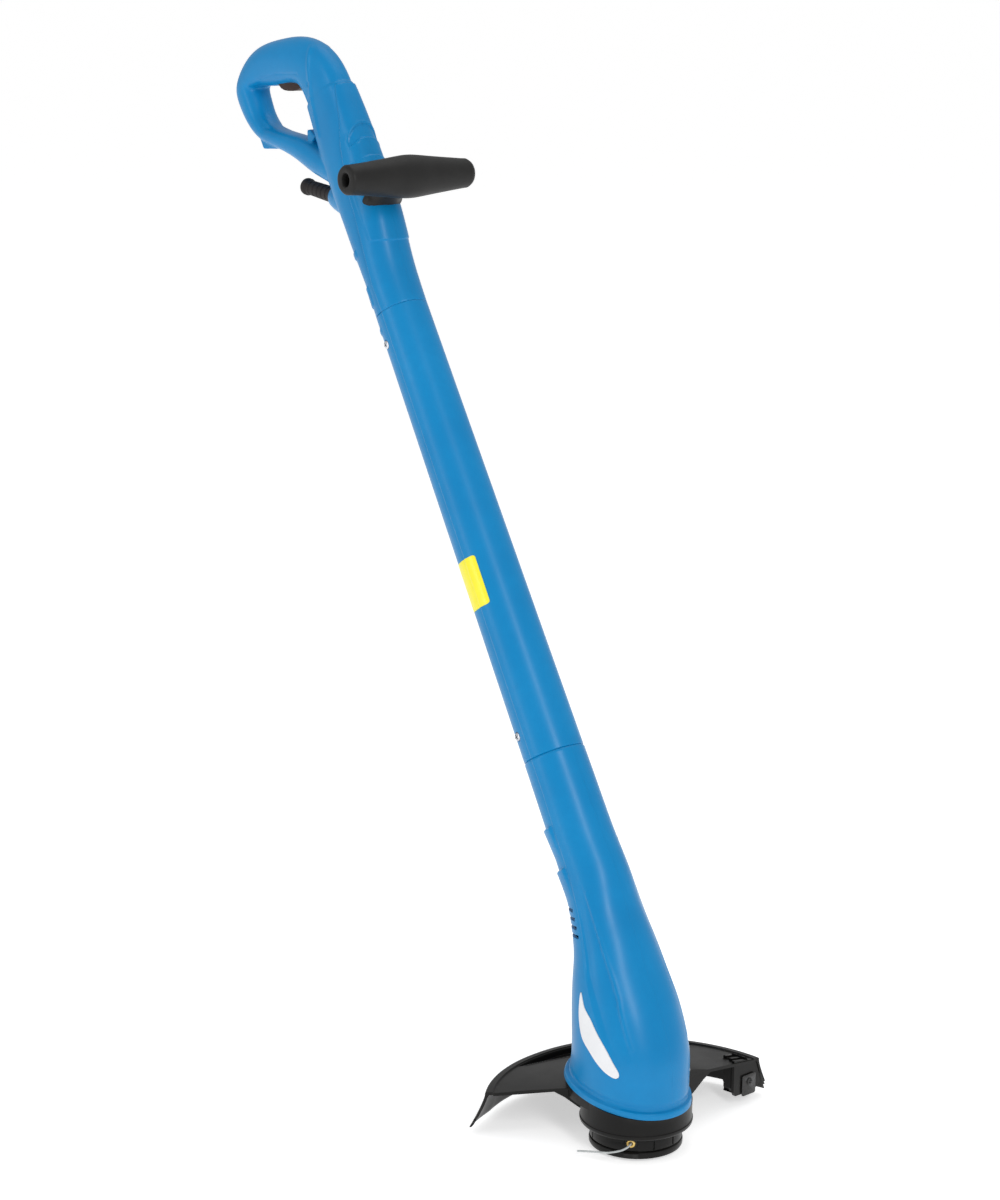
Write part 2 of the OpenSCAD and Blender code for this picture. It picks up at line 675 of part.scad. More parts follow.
// the sector starts here, degrees from +X, and ends to the left of the back
guard_a0 = 4;
module sector(a0, a1) { translate([gx, gy, 0]) rotate([0, 0, a0]) rotate_extrude(angle = a1 - a0) children(); }
module guard() {
    color(black) difference() {
        union() {
            translate([0, 0, collar_z0]) cylinder(r = collar_r, h = 30);
            sector(guard_a0, guard_a0 + guard_span) polygon([[30, plate_z], [62, plate_z],
                [guard_r - 2, rim_z], [guard_r, rim_z - 2], [guard_r + skirt_flare, skirt_z0],
                [guard_r + skirt_flare - plate_t, skirt_z0], [guard_r - plate_t - 0.4, rim_z - plate_t - 1],
                [62, plate_z - plate_t], [30, plate_z - plate_t]]);
            sector(guard_a0, guard_a0 + guard_span)
                polygon([[36, plate_z - 1], [70, plate_z - 2], [52, 30], [43, collar_z0 + 2], [36, collar_z0 + 2]]);
            intersection() {
                translate([0, 11, 30]) scale([45 / 57, 1, 1]) cylinder(r = 56.4, h = 30);
                translate([-60, 0, 38]) cube([120, 80, 30]);
            }
            for (k = [0, 1]) sector(guard_a0 + k * 7, guard_a0 + k * 7 + 1.4)
                polygon([[guard_r - 28, rim_z + 1], [guard_r - 1, rim_z - 2], [guard_r - 1, 9],
                             [guard_r - 16, 9], [guard_r - 28, 20]]);
        }
        above_flange();
        translate([0, 0, collar_z0 - 1]) cylinder(r = collar_r - collar_wall, h = 60);
        for (p = base_screw_at) translate([p[0], p[1], 0]) guard_screw_hole();
        cutter_frame() translate([0, 3.6, 2]) rotate([90, 0, 0])
            cylinder(r = screw_r + screw_gap, h = 10);
    }
}
guard_head_z = 33;
module guard_screw_hole() {
    translate([0, 0, 20]) cylinder(r = screw_r + screw_gap, h = 40);
    cylinder(r = screw_head_r + 0.4, h = guard_head_z + 0.1);
}
module guard_screws() {
    color(steel) for (p = [base_screw_at[0], base_screw_at[1]]) translate([p[0], p[1], guard_head_z]) {
        cylinder(r = screw_r, h = 22);
        translate([0, 0, -head_h]) cylinder(r = screw_head_r, h = head_h);
    }
}
module base_plate() {
    color(black) difference() {
        translate([0, 0, 34.5]) cylinder(r = collar_r - collar_wall - slip, h = 2.5);
        translate([0, 0, 30]) cylinder(r = 11, h = 20);
        for (k = [0 : 11]) rotate([0, 0, 30 * k]) translate([20, -2, 30]) cube([16, 4, 20]);
    }
}
module cutter_frame() {
    translate([gx, gy, 0]) rotate([0, 0, guard_a0]) translate([guard_r - 12, 0, 18]) children();
}
blade_t = 1;
module line_cutter_blade() {
    color(steel) cutter_frame() difference() {
        translate([-8, -blade_t - 0.02, -10]) cube([16, blade_t, 18]);
        translate([0, 3, 2]) rotate([90, 0, 0]) cylinder(r = screw_r + screw_gap, h = 10);
    }
}
module cutter_screw() {
    color(steel) cutter_frame() translate([0, 0, 2]) rotate([90, 0, 0]) {
        translate([0, 0, -3]) cylinder(r = screw_r, h = 4.5);
        translate([0, 0, blade_t + 0.04]) cylinder(r = screw_head_r - 0.4, h = 1.8);
    }
}

// ---- spool ----
cap_z0 = 1.8;
cap_z1 = 8;
spool_z1 = 31.5;
spool_wall = 2.2;
eye_z = 16;
eye_turn = 47;
eye_r = 2.9;
module at_eyelet() {
    rotate([0, 0, 180 + 90 - eye_turn]) translate([spool_r - spool_wall, 0, eye_z]) rotate([0, 90, 0])
        children();
}
post_r = 8;
post_z0 = 15;
module spool_housing() {
    color(black) difference() {
        union() {
            translate([0, 0, cap_z1 + 0.05]) cylinder(r = spool_r, h = spool_z1 - cap_z1 - 0.05);
            cylinder_at(9, spool_z1, hub_z1);
        }
        difference() {
            translate([0, 0, -1]) cylinder(r = spool_r - spool_wall, h = spool_z1 - spool_wall + 1);
            cylinder_at(post_r, post_z0, spool_z1);
        }
        translate([0, 0, hub_z1 - 14]) cylinder(r = shaft_r, h = 30);
        at_eyelet() translate([0, 0, -5]) cylinder(r = eye_r - 0.9, h = 15);
    }
}
module cylinder_at(r, z0, z1) { translate([0, 0, z0]) cylinder(r = r, h = z1 - z0); }
module line_eyelet() {
    color([0.8, 0.6, 0.25]) at_eyelet() difference() {
        union() {
            translate([0, 0, 0.1]) cylinder(r = eye_r - 0.95, h = spool_wall + 0.6);
            translate([0, 0, spool_wall + 0.02]) cylinder(r1 = eye_r + 0.5, r2 = eye_r, h = 1.1);
        }
        translate([0, 0, -2]) cylinder(r = line_d / 2 + 0.35, h = 10);
    }
}
module spool_cap() {
    color(black) difference() {
        union() {
            cylinder_at(spool_r, cap_z0, cap_z1);
            cylinder_at(spool_r - spool_wall - slip, cap_z1, cap_z1 + 3);
        }
        cylinder_at(spool_r - spool_wall - slip - 2, cap_z0 + 2, cap_z1 + 5);
        cylinder_at(button_r + 0.5, 0, cap_z1);
    }
}
bobbin_r = spool_r - spool_wall - 3;
core_in = 13;
wound_t = bobbin_r - core_in - 5.2;
bob_z0 = 4.2;
bob_z1 = 24.6;
module bobbin() {
    color([0.15, 0.15, 0.15]) difference() {
        union() {
            cylinder_at(bobbin_r, bob_z0, bob_z0 + 1.6);
            cylinder_at(bobbin_r, bob_z1 - 1.6, bob_z1);
            cylinder_at(core_in, bob_z0, bob_z1);
        }
        cylinder_at(post_r + 0.5, bob_z0 + 2, bob_z1 + 1);
    }
}
module wound_line() {
    color([0.75, 0.76, 0.74]) rotate_extrude() difference() {
        translate([core_in + 0.02, bob_z0 + 1.7]) square([wound_t, bob_z1 - bob_z0 - 3.4]);
        for (k = [0 : 8]) translate([core_in + wound_t + 0.4, bob_z0 + 2.4 + k * 1.9])
            circle(r = 0.7, $fn = 16);
    }
}
module bump_button() {
    color(black) rotate_extrude() polygon([[0, 0], [button_r - 8, 0], [button_r - 3, 0.6],
        [button_r, 1.8], [button_r, bob_z0 - 0.02], [0, bob_z0 - 0.02]]);
}
module bump_spring() {
    color(steel) translate([0, 0, bob_z0 + 2.05]) coil(5.4, 0.6, post_z0 - bob_z0 - 2.1, 4);
}
// free end of the cutting line, from inside the eyelet
function out_at(r, z) = [-r * sin(eye_turn), -r * cos(eye_turn), z];
line_path = [out_at(spool_r - 3, eye_z), out_at(spool_r + 1.5, eye_z), [-33.2, -27.8, 14.6],
             [-38.3, -25.1, 12.2], [-44.7, -18, 9.8], [-48.5, -10.5, 8.7], [-53.1, -3.6, 8.1],
             [-58.7, 3.2, 7.6]];
line_n = 10;
function unit(v) = v / norm(v);
module trim_line() {
    m = len(line_path);
    points = [for (k = [0 : m - 1], i = [0 : line_n - 1])
        let (t = unit(line_path[min(k + 1, m - 1)] - line_path[max(k - 1, 0)]),
             u = unit(cross(t, [0, 0, 1])), v = cross(u, t), a = 360 * i / line_n)
        line_path[k] + line_d / 2 * (cos(a) * u + sin(a) * v)];
    sides = [for (k = [0 : m - 2], i = [0 : line_n - 1], t = [0, 1])
        let (j = (i + 1) % line_n, a = k * line_n, b = a + line_n)
        t == 0 ? [a + i, a + j, b + i] : [b + i, a + j, b + j]];
    start = [for (i = [line_n - 1 : -1 : 0]) i];
    finish = [for (i = [0 : line_n - 1]) (m - 1) * line_n + i];
    color([0.8, 0.82, 0.8]) polyhedron(points, concat([start], sides, [finish]));
}

handle_shell_left();
handle_shell_right();
handle_screws();
trigger();
trigger_pin();
trigger_spring();
switch_body();
switch_plunger();
cord_sleeve();
cord_clamp();
cord_clamp_screws();
front_grip();
grip_foot();
grip_screw();
shaft_tube();
tube_screws();
tube_label();
motor_lead();
motor_housing_left();
motor_housing_right();
housing_screws();
side_inlay_left();
side_inlay_right();
motor_can();
motor_end_cap();
motor_magnets();
carbon_brushes();
lower_bearing();
upper_bearing();
rectifier_block();
motor_shaft();
armature_core();
armature_windings();
commutator();
cooling_fan();
base_plate();
guard();
guard_screws();
line_cutter_blade();
cutter_screw();
spool_housing();
spool_cap();
line_eyelet();
bobbin();
wound_line();
bump_button();
bump_spring();
trim_line();
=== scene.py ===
import math

import bpy
import bmesh
import numpy as np
from mathutils import Matrix, Vector


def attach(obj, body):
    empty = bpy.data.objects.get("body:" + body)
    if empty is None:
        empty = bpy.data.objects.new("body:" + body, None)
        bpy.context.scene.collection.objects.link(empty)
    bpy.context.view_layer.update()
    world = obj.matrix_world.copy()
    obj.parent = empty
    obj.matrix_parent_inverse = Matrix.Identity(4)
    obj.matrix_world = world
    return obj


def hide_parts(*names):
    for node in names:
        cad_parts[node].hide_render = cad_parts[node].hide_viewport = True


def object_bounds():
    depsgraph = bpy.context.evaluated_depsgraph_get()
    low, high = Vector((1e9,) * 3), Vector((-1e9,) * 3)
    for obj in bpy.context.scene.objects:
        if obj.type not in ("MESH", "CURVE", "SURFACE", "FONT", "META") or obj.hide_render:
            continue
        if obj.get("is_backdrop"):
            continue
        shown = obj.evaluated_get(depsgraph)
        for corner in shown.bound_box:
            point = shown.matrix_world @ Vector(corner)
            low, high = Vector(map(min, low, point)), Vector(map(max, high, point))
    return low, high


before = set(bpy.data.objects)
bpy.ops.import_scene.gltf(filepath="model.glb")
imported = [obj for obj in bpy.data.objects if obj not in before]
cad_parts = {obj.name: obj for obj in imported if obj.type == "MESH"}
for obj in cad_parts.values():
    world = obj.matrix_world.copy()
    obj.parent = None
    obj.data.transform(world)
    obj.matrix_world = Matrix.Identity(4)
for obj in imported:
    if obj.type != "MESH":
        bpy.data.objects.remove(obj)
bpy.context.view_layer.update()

MM = 0.001
LEAN = 31.4
AXIS_Z = 121.0
TUBE_S0, TUBE_S1 = 208.0, 603.0
TUBE_R0, TUBE_R1 = 25.2, 22.2
scene = bpy.context.scene


def add(name, data):
    ob = bpy.data.objects.new(name, data)
    scene.collection.objects.link(ob)
    return ob


# ---- camera
def make_camera():
    """The camera that matches the photo."""
    yaw, pitch, roll = math.radians(38.704), math.radians(13.40), math.radians(0.47)
    fw = Vector((math.sin(yaw) * math.cos(pitch), math.cos(yaw) * math.cos(pitch), -math.sin(pitch)))
    r = Vector((math.cos(yaw), -math.sin(yaw), 0))
    u = r.cross(fw)
    right = math.cos(roll) * r + math.sin(roll) * u
    up = -math.sin(roll) * r + math.cos(roll) * u
    cam = bpy.data.cameras.new("camera")
    cam.sensor_fit = "VERTICAL"
    cam.sensor_height = 36
    cam.lens = 86.06
    cam.clip_start, cam.clip_end = 0.05, 50
    ob = add("camera", cam)
    m = Matrix((right, up, -fw)).transposed().to_4x4()
    m.translation = Vector((-1.42555, -1.59949, 0.95644))
    ob.matrix_world = m
    scene.camera = ob


make_camera()


# ---- frames, all in millimetres
def rot(deg, axis="X"):
    return Matrix.Rotation(math.radians(deg), 4, axis)


def move(x, y, z):
    return Matrix.Translation((x, y, z))


def shaft(s=0.0, n=0.0, x=0.0):
    """The shaft frame: local Z up the shaft, local -Y to the front."""
    return move(0, 0, AXIS_Z) @ rot(-LEAN) @ move(x, -n, s)


SHAFT = shaft()
TRIGGER = shaft(834, -38) @ rot(28)
GLAND = shaft(716, -20) @ rot(-52)


def put(m, p):
    """numpy points through a matrix, still in millimetres."""
    p = np.asarray(p, float).reshape(-1, 3)
    a = np.array(m)
    return p @ a[:3, :3].T + a[:3, 3]


def back(m, p):
    return put(m.inverted(), p)


def smoothstep(x, a, b):
    t = np.clip((np.asarray(x, float) - a) / (b - a), 0, 1)
    return t * t * (3 - 2 * t)


def bump(x, w):
    return np.exp(-((np.asarray(x, float) / w) ** 2))


# ---- mesh helpers
def mesh(name, verts, faces, m=None):
    """A mesh of millimetre points, through the matrix m if there is one."""
    verts = np.asarray(verts, float) if m is None else put(m, verts)
    me = bpy.data.meshes.new(name)
    me.from_pydata((verts * MM).tolist(), [], faces)
    me.update()
    return add(name, me)


def closed_mesh(name, verts, faces, m=None):
    """A closed mesh with every face turned outwards."""
    ob = mesh(name, verts, faces, m)
    bm = bmesh.new()
    bm.from_mesh(ob.data)
    bmesh.ops.recalc_face_normals(bm, faces=bm.faces)
    if bm.calc_volume(signed=True) < 0:
        bmesh.ops.reverse_faces(bm, faces=bm.faces)
    bm.to_mesh(ob.data)
    bm.free()
    return ob


def grid_faces(m, n, closed=True, caps=True, loop=False):
    """Quads of m rings of n points, with end faces unless the rings close on themselves."""
    k = np.arange(m if loop else m - 1)[:, None]
    i = np.arange(n if closed else n - 1)[None, :]
    j = (i + 1) % n
    a = k * n
    b = ((k + 1) % m) * n
    q = np.stack([a + i + 0 * b, a + j + 0 * b, b + j, b + i], -1).reshape(-1, 4).tolist()
    if caps and not loop:
        q.append(list(range(n - 1, -1, -1)))
        q.append(list(range((m - 1) * n, m * n)))
    return q


def spline(rows, step):
    """Rows of numbers joined by a smooth curve through each, with about step between the samples."""
    rows = np.asarray(rows, float)
    d = np.hypot(np.diff(rows[:, 0]), np.diff(rows[:, 1]))
    if rows.shape[1] > 3:
        d = d + 0.12 * np.abs(np.diff(rows[:, 2]))
    t = np.r_[0, np.cumsum(d)]
    n = len(t)
    h = np.diff(t)
    a = np.zeros((n, n))
    b = np.zeros_like(rows)
    a[0, 0] = a[-1, -1] = 1
    for i in range(1, n - 1):
        a[i, i - 1], a[i, i], a[i, i + 1] = h[i - 1], 2 * (h[i - 1] + h[i]), h[i]
        b[i] = 6 * ((rows[i + 1] - rows[i]) / h[i] - (rows[i] - rows[i - 1]) / h[i - 1])
    m2 = np.linalg.solve(a, b)
    count = max(2, int(round(t[-1] / step)) + 1)
    u = np.linspace(0, t[-1], count)
    k = np.clip(np.searchsorted(t, u, side="right") - 1, 0, n - 2)
    w = (u - t[k])[:, None]
    hk = h[k][:, None]
    left = (rows[k + 1] - rows[k]) / hk - hk * (2 * m2[k] + m2[k + 1]) / 6
    return rows[k] + left * w + m2[k] / 2 * w**2 + (m2[k + 1] - m2[k]) / (6 * hk) * w**3


def sgn_pow(v, e):
    return np.sign(v) * np.abs(v) ** e


def even_angles(n, p=2.2):
    """Parameters that space the points of a superellipse of power p evenly."""
    a = np.linspace(0, 2 * np.pi, 721)
    x, y = sgn_pow(np.cos(a), 2 / p), sgn_pow(np.sin(a), 2 / p)
    t = np.r_[0, np.cumsum(np.hypot(np.diff(x), np.diff(y)))]
    return np.interp(np.linspace(0, t[-1], n + 1)[:-1], t, a)


def rings(sections, n, d=0.0):
    """Sections as [y, z, tilt, half width, front, back, squareness], drawn in by d, to (m, n, 3) points."""
    c = np.asarray(sections, float)
    a = even_angles(n)[None, :]
    q = 2 / c[:, 6][:, None]
    x = (c[:, 3][:, None] - d) * sgn_pow(np.cos(a), q)
    deep = np.where(np.sin(a) < 0, c[:, 4][:, None] - d, c[:, 5][:, None] - d)
    v = deep * sgn_pow(np.sin(a), q)
    tilt = np.radians(c[:, 2])[:, None]
    return np.stack([x, c[:, 0][:, None] + v * np.cos(tilt), c[:, 1][:, None] - v * np.sin(tilt)], -1)


def loft(name, sections, n, step, d=0.0, m=None):
    """A smooth closed skin through the sections, drawn in by d."""
    rows = spline(sections, step)
    return mesh(name, rings(rows, n, d).reshape(-1, 3), grid_faces(len(rows), n), m)


def lathe(name, profile, n=96, m=None, fine=0.0):
    """A closed (r, z) profile turned about local Z. Points on the axis become one vertex."""
    prof = np.asarray(profile, float)
    if fine:
        prof = densify(prof, fine)
    a = np.linspace(0, 2 * np.pi, n, endpoint=False)
    verts, index = [], []
    for r, z in prof:
        if r < 1e-6:
            index.append([len(verts)] * n)
            verts.append((0, 0, z))
        else:
            index.append(list(range(len(verts), len(verts) + n)))
            verts.extend(np.stack([r * np.cos(a), r * np.sin(a), np.full(n, z)], 1).tolist())
    faces = []
    for k in range(len(prof)):
        k2 = (k + 1) % len(prof)
        for i in range(n):
            j = (i + 1) % n
            f = [index[k][i], index[k][j], index[k2][j], index[k2][i]]
            f = [v for q, v in enumerate(f) if v not in f[:q]]
            if len(f) > 2:
                faces.append(f)
    return closed_mesh(name, verts, faces, m)


def densify(p, step):
    """A closed outline with points added so that none are further apart than step."""
    out = []
    for k in range(len(p)):
        a, b = p[k], p[(k + 1) % len(p)]
        c = max(1, int(np.ceil(np.hypot(*(b - a)[:2]) / step)))
        out.extend([a + (b - a) * i / c for i in range(c)])
    return np.array(out)


def rounded(poly, r, steps=4):
    """A closed 2D outline with each corner rounded; r is one radius or one for each point."""
    poly = np.asarray(poly, float)
    n = len(poly)
    rr = np.broadcast_to(np.asarray(r, float), (n,))
    out = []
    for k in range(n):
        a, b, c = poly[k - 1], poly[k], poly[(k + 1) % n]
        u, v = a - b, c - b
        lu, lv = np.linalg.norm(u), np.linalg.norm(v)
        if rr[k] <= 0 or min(lu, lv) < 1e-6:
            out.append(b)
            continue
        cosv = np.clip(u @ v / (lu * lv), -0.9999, 0.9999)
        half = math.acos(cosv) / 2
        cut = min(rr[k] / math.tan(half), 0.45 * min(lu, lv))
        p0, p1 = b + u / lu * cut, b + v / lv * cut
        for i in range(steps + 1):
            t = i / steps
            out.append((1 - t) ** 2 * p0 + 2 * t * (1 - t) * b + t**2 * p1)
    return np.array(out)


def prism(name, poly, h0, h1, m=None, axis="z", bevel=0.0, segments=2):
    """A closed 2D outline pushed from h0 to h1 along an axis; its edges are bevelled if asked."""
    poly = np.asarray(poly, float)
    n = len(poly)
    lo = np.c_[poly, np.full(n, h0)]
    hi = np.c_[poly, np.full(n, h1)]
    v = np.r_[lo, hi]
    if axis == "x":
        v = v[:, [2, 0, 1]]
    ob = closed_mesh(name, v, grid_faces(2, n), m)
    if bevel:
        add_bevel(ob, bevel, segments)
    return ob


def block(name, lo, hi, m=None, bevel=0.0):
    (x0, y0, z0), (x1, y1, z1) = lo, hi
    return prism(name, [(x0, y0), (x1, y0), (x1, y1), (x0, y1)], z0, z1, m, bevel=bevel)


def add_bevel(ob, width, segments, angle=30):
    b = ob.modifiers.new("bevel", "BEVEL")
    b.width = width * MM
    b.segments = segments
    b.limit_method = "ANGLE"
    b.angle_limit = math.radians(angle)
    bake(ob)


def bake(ob):
    """Applies the object's modifiers."""
    bpy.context.view_layer.update()
    dg = bpy.context.evaluated_depsgraph_get()
    me = bpy.data.meshes.new_from_object(ob.evaluated_get(dg))
    ob.modifiers.clear()
    old = ob.data
    ob.data = me
    bpy.data.meshes.remove(old)
    return ob


def drop(*obs):
    for o in obs:
        me = o.data
        bpy.data.objects.remove(o)
        if me and me.users == 0:
            bpy.data.meshes.remove(me)


def boolean(ob, others, operation="DIFFERENCE", keep=False):
    """Cuts ob by the others, or joins or crosses it with them. They are dropped unless they are kept."""
    others = others if isinstance(others, (list, tuple)) else [others]
    for other in others:
        b = ob.modifiers.new("cut", "BOOLEAN")
        b.operation = operation
        b.solver = "MANIFOLD"
        b.object = other
        bake(ob)
    if not keep:
        drop(*others)


def remesh(ob, size, smooth=0):
    """Rebuilds ob as one even skin, smoothed a number of times."""
    r = ob.modifiers.new("remesh", "REMESH")
    r.mode = "VOXEL"
    r.voxel_size = size * MM
    r.adaptivity = 0
    if smooth:
        s = ob.modifiers.new("smooth", "SMOOTH")
        s.factor = 0.5
        s.iterations = smooth
    return bake(ob)


def join(name, obs):
    """One object of several, as loose shells."""
    bm = bmesh.new()
    for o in obs:
        bm.from_mesh(o.data)
    me = bpy.data.meshes.new(name)
    bm.to_mesh(me)
    bm.free()
    drop(*obs)
    return add(name, me)


def coords(ob):
    co = np.empty(len(ob.data.vertices) * 3, np.float32)
    ob.data.vertices.foreach_get("co", co)
    return co.reshape(-1, 3).astype(float) / MM


def normals(ob):
    no = np.empty(len(ob.data.vertices) * 3, np.float32)
    ob.data.vertex_normals.foreach_get("vector", no)
    return no.reshape(-1, 3).astype(float)


def set_coords(ob, p):
    ob.data.vertices.foreach_set("co", (p * MM).astype(np.float32).ravel())
    ob.data.update()


def push(ob, amount):
    """Moves each point along its normal."""
    set_coords(ob, coords(ob) + normals(ob) * np.asarray(amount)[:, None])


def halves(ob, left, right, gap=0.04):
    """Splits a shell along its parting plane into two pieces."""
    out = []
    for name, x0, x1 in ((left, -400, -gap), (right, gap, 400)):
        half = add(name, ob.data.copy())
        boolean(half, block("keep", (x0, -400, -50), (x1, 900, 1200)), "INTERSECT")
        out.append(half)
    drop(ob)
    return out


def shade(ob, angle=32):
    me = ob.data
    me.polygons.foreach_set("use_smooth", [True] * len(me.polygons))
    me.set_sharp_from_angle(angle=math.radians(angle))
    me.update()


MAT = {}


def finish_piece(ob, material, body="body", node=None, angle=32):
    """Gives a piece its shading and material, hides the CAD node it stands in for, and sets it on the body it rides on.
    """
    shade(ob, angle)
    ob.data.materials.clear()
    ob.data.materials.append(MAT[material])
    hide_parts(node)
    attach(ob, body)


# ---- materials
class Nodes:
    def __init__(self, name):
        self.mat = bpy.data.materials.new(name)
        self.mat.use_nodes = True
        self.t = self.mat.node_tree
        self.t.nodes.clear()
        self.out = self.t.nodes.new("ShaderNodeOutputMaterial")
        self.bsdf = self.t.nodes.new("ShaderNodeBsdfPrincipled")
        self.t.links.new(self.bsdf.outputs[0], self.out.inputs[0])
        self.co = self.t.nodes.new("ShaderNodeTexCoord").outputs["Object"]

    def link(self, a, b):
        self.t.links.new(a, b)

    def noise(self, scale, detail, rough, vector=None, distortion=0.0):
        n = self.t.nodes.new("ShaderNodeTexNoise")
        n.inputs["Scale"].default_value = scale
        n.inputs["Detail"].default_value = detail
        n.inputs["Roughness"].default_value = rough
        n.inputs["Distortion"].default_value = distortion
        self.link(vector or self.co, n.inputs["Vector"])
        return n.outputs["Fac"]

    def stretch(self, scale, turn):
        n = self.t.nodes.new("ShaderNodeMapping")
        n.inputs["Scale"].default_value = scale
        n.inputs["Rotation"].default_value = turn
        self.link(self.co, n.inputs["Vector"])
        return n.outputs[0]

    def ramp(self, fac, stops):
        n = self.t.nodes.new("ShaderNodeValToRGB")
        e = n.color_ramp.elements
        while len(e) < len(stops):
            e.new(0.5)
        for el, (pos, col) in zip(e, stops):
            el.position = pos
            el.color = (*col, 1)
        self.link(fac, n.inputs[0])
        return n.outputs[0]

    def span(self, fac, a, b, lo, hi):
        n = self.t.nodes.new("ShaderNodeMapRange")
        for k, v in zip(("From Min", "From Max", "To Min", "To Max"), (a, b, lo, hi)):
            n.inputs[k].default_value = v
        self.link(fac, n.inputs[0])
        return n.outputs[0]

    def mix(self, fac, a, b):
        n = self.t.nodes.new("ShaderNodeMix")
        n.data_type = "RGBA"
        for sock, v in ((n.inputs[0], fac), (n.inputs[6], a), (n.inputs[7], b)):
            if hasattr(v, "is_output"):
                self.link(v, sock)
            elif isinstance(v, (tuple, list)):
                sock.default_value = (*v, 1)
            else:
                sock.default_value = v
        return n.outputs[2]

    def math(self, op, a, b):
        n = self.t.nodes.new("ShaderNodeMath")
        n.operation = op
        for sock, v in ((n.inputs[0], a), (n.inputs[1], b)):
            if hasattr(v, "is_output"):
                self.link(v, sock)
            else:
                sock.default_value = v
        return n.outputs[0]

    def pointy(self):
        return self.t.nodes.new("ShaderNodeNewGeometry").outputs["Pointiness"]

    def bump(self, height, strength, distance, under=None):
        n = self.t.nodes.new("ShaderNodeBump")
        n.inputs["Strength"].default_value = strength
        n.inputs["Distance"].default_value = distance
        self.link(height, n.inputs["Height"])
        if under is not None:
            self.link(under, n.inputs["Normal"])
        return n.outputs[0]


def plastic(name, base, dark, light, rough, grain=1800.0, grain_strength=0.25, grain_mm=0.05,
            metallic=0.0, coat=0.0, coat_rough=0.2, specular=0.5, cloud=14.0, scratch=0.25, wear=None,
            rough_spread=0.1):
    """Moulded plastic, rubber or metal: mottled colour, fine grain, uneven gloss, faint scuffs, worn edges."""
    g = Nodes(name)
    big = g.noise(cloud, 5, 0.6)
    small = g.noise(cloud * 11, 4, 0.6)
    colour = g.ramp(big, [(0.3, dark), (0.52, base), (0.75, light)])
    speck = g.span(small, 0.35, 0.7, 0.0, 0.35)
    colour = g.mix(speck, colour, dark)
    scuff = g.noise(60, 8, 0.7, g.stretch((1, 1, 9), (0.4, 0.2, 0.1)), 0.6)
    scuffs = g.span(scuff, 0.62, 0.72, 0.0, scratch)
    colour = g.mix(g.math("MULTIPLY", scuffs, 0.35), colour, light)
    if wear:
        edge = g.span(g.pointy(), 0.53, 0.60, 0.0, 0.55)
        edge = g.math("MULTIPLY", edge, g.span(small, 0.35, 0.6, 0.2, 1.0))
        colour = g.mix(edge, colour, wear)
    g.link(colour, g.bsdf.inputs["Base Color"])
    r = g.span(g.noise(cloud * 2.3, 6, 0.6), 0.3, 0.7, rough - rough_spread / 2, rough + rough_spread / 2)
    r = g.math("ADD", r, g.math("MULTIPLY", scuffs, 0.25))
    g.link(r, g.bsdf.inputs["Roughness"])
    n1 = g.bump(g.noise(grain, 3, 0.6), grain_strength, grain_mm * MM)
    n2 = g.bump(g.noise(70, 3, 0.5), 0.06, 0.0004, n1)
    g.link(n2, g.bsdf.inputs["Normal"])
    b = g.bsdf.inputs
    b["Metallic"].default_value = metallic
    b["Coat Weight"].default_value = coat
    b["Coat Roughness"].default_value = coat_rough
    b["Specular IOR Level"].default_value = specular
    MAT[name] = g.mat
    return g


plastic("blue_plastic", (0.0015, 0.206, 0.475), (0.0012, 0.186, 0.44), (0.004, 0.222, 0.50), 0.34, 1500, 0.14, 0.03,
        coat=0.04, coat_rough=0.2, specular=0.22, wear=(0.03, 0.26, 0.55), scratch=0.12, rough_spread=0.08)
plastic("black_plastic", (0.0050, 0.0047, 0.0043), (0.0036, 0.0034, 0.0031), (0.008, 0.0075, 0.007), 0.32, 1300, 0.22,
        0.05, coat=0.02, coat_rough=0.25, specular=0.17, wear=(0.035, 0.034, 0.033))
plastic("black_grip", (0.017, 0.0168, 0.0165), (0.012, 0.0118, 0.0115), (0.024, 0.0237, 0.0235), 0.5, 900, 0.5, 0.09,
        specular=0.2, wear=(0.045, 0.044, 0.043))
plastic("dark_trigger", (0.034, 0.015, 0.011), (0.022, 0.010, 0.008), (0.048, 0.023, 0.018), 0.42, 1200, 0.3, 0.05,
        specular=0.2, wear=(0.09, 0.06, 0.05))
plastic("red_plastic", (0.42, 0.02, 0.015), (0.30, 0.015, 0.012), (0.5, 0.04, 0.03), 0.4, 1200, 0.25, 0.04)
plastic("black_rubber", (0.022, 0.019, 0.019), (0.015, 0.013, 0.013), (0.031, 0.027, 0.027), 0.6, 800, 0.5, 0.08,
        specular=0.2, wear=(0.06, 0.055, 0.055))
plastic("screw_steel", (0.62, 0.64, 0.68), (0.42, 0.44, 0.47), (0.75, 0.77, 0.80), 0.28, 2600, 0.2, 0.02,
        metallic=1.0, cloud=120, rough_spread=0.15)
plastic("spring_steel", (0.50, 0.50, 0.50), (0.30, 0.30, 0.30), (0.66, 0.66, 0.66), 0.3, 2600, 0.3, 0.02,
        metallic=1.0, cloud=90, rough_spread=0.2)
plastic("blade_steel", (0.030, 0.029, 0.028), (0.018, 0.018, 0.017), (0.06, 0.06, 0.06), 0.38, 2200, 0.3, 0.03,
        metallic=0.6, cloud=60, wear=(0.35, 0.35, 0.36), rough_spread=0.2)
plastic("can_steel", (0.48, 0.48, 0.47), (0.34, 0.34, 0.33), (0.6, 0.6, 0.58), 0.34, 1800, 0.25, 0.03,
        metallic=1.0, cloud=40, rough_spread=0.2)
plastic("copper_wire", (0.62, 0.24, 0.09), (0.40, 0.13, 0.05), (0.75, 0.34, 0.15), 0.34, 900, 0.6, 0.12,
        metallic=0.9, cloud=90, rough_spread=0.2)
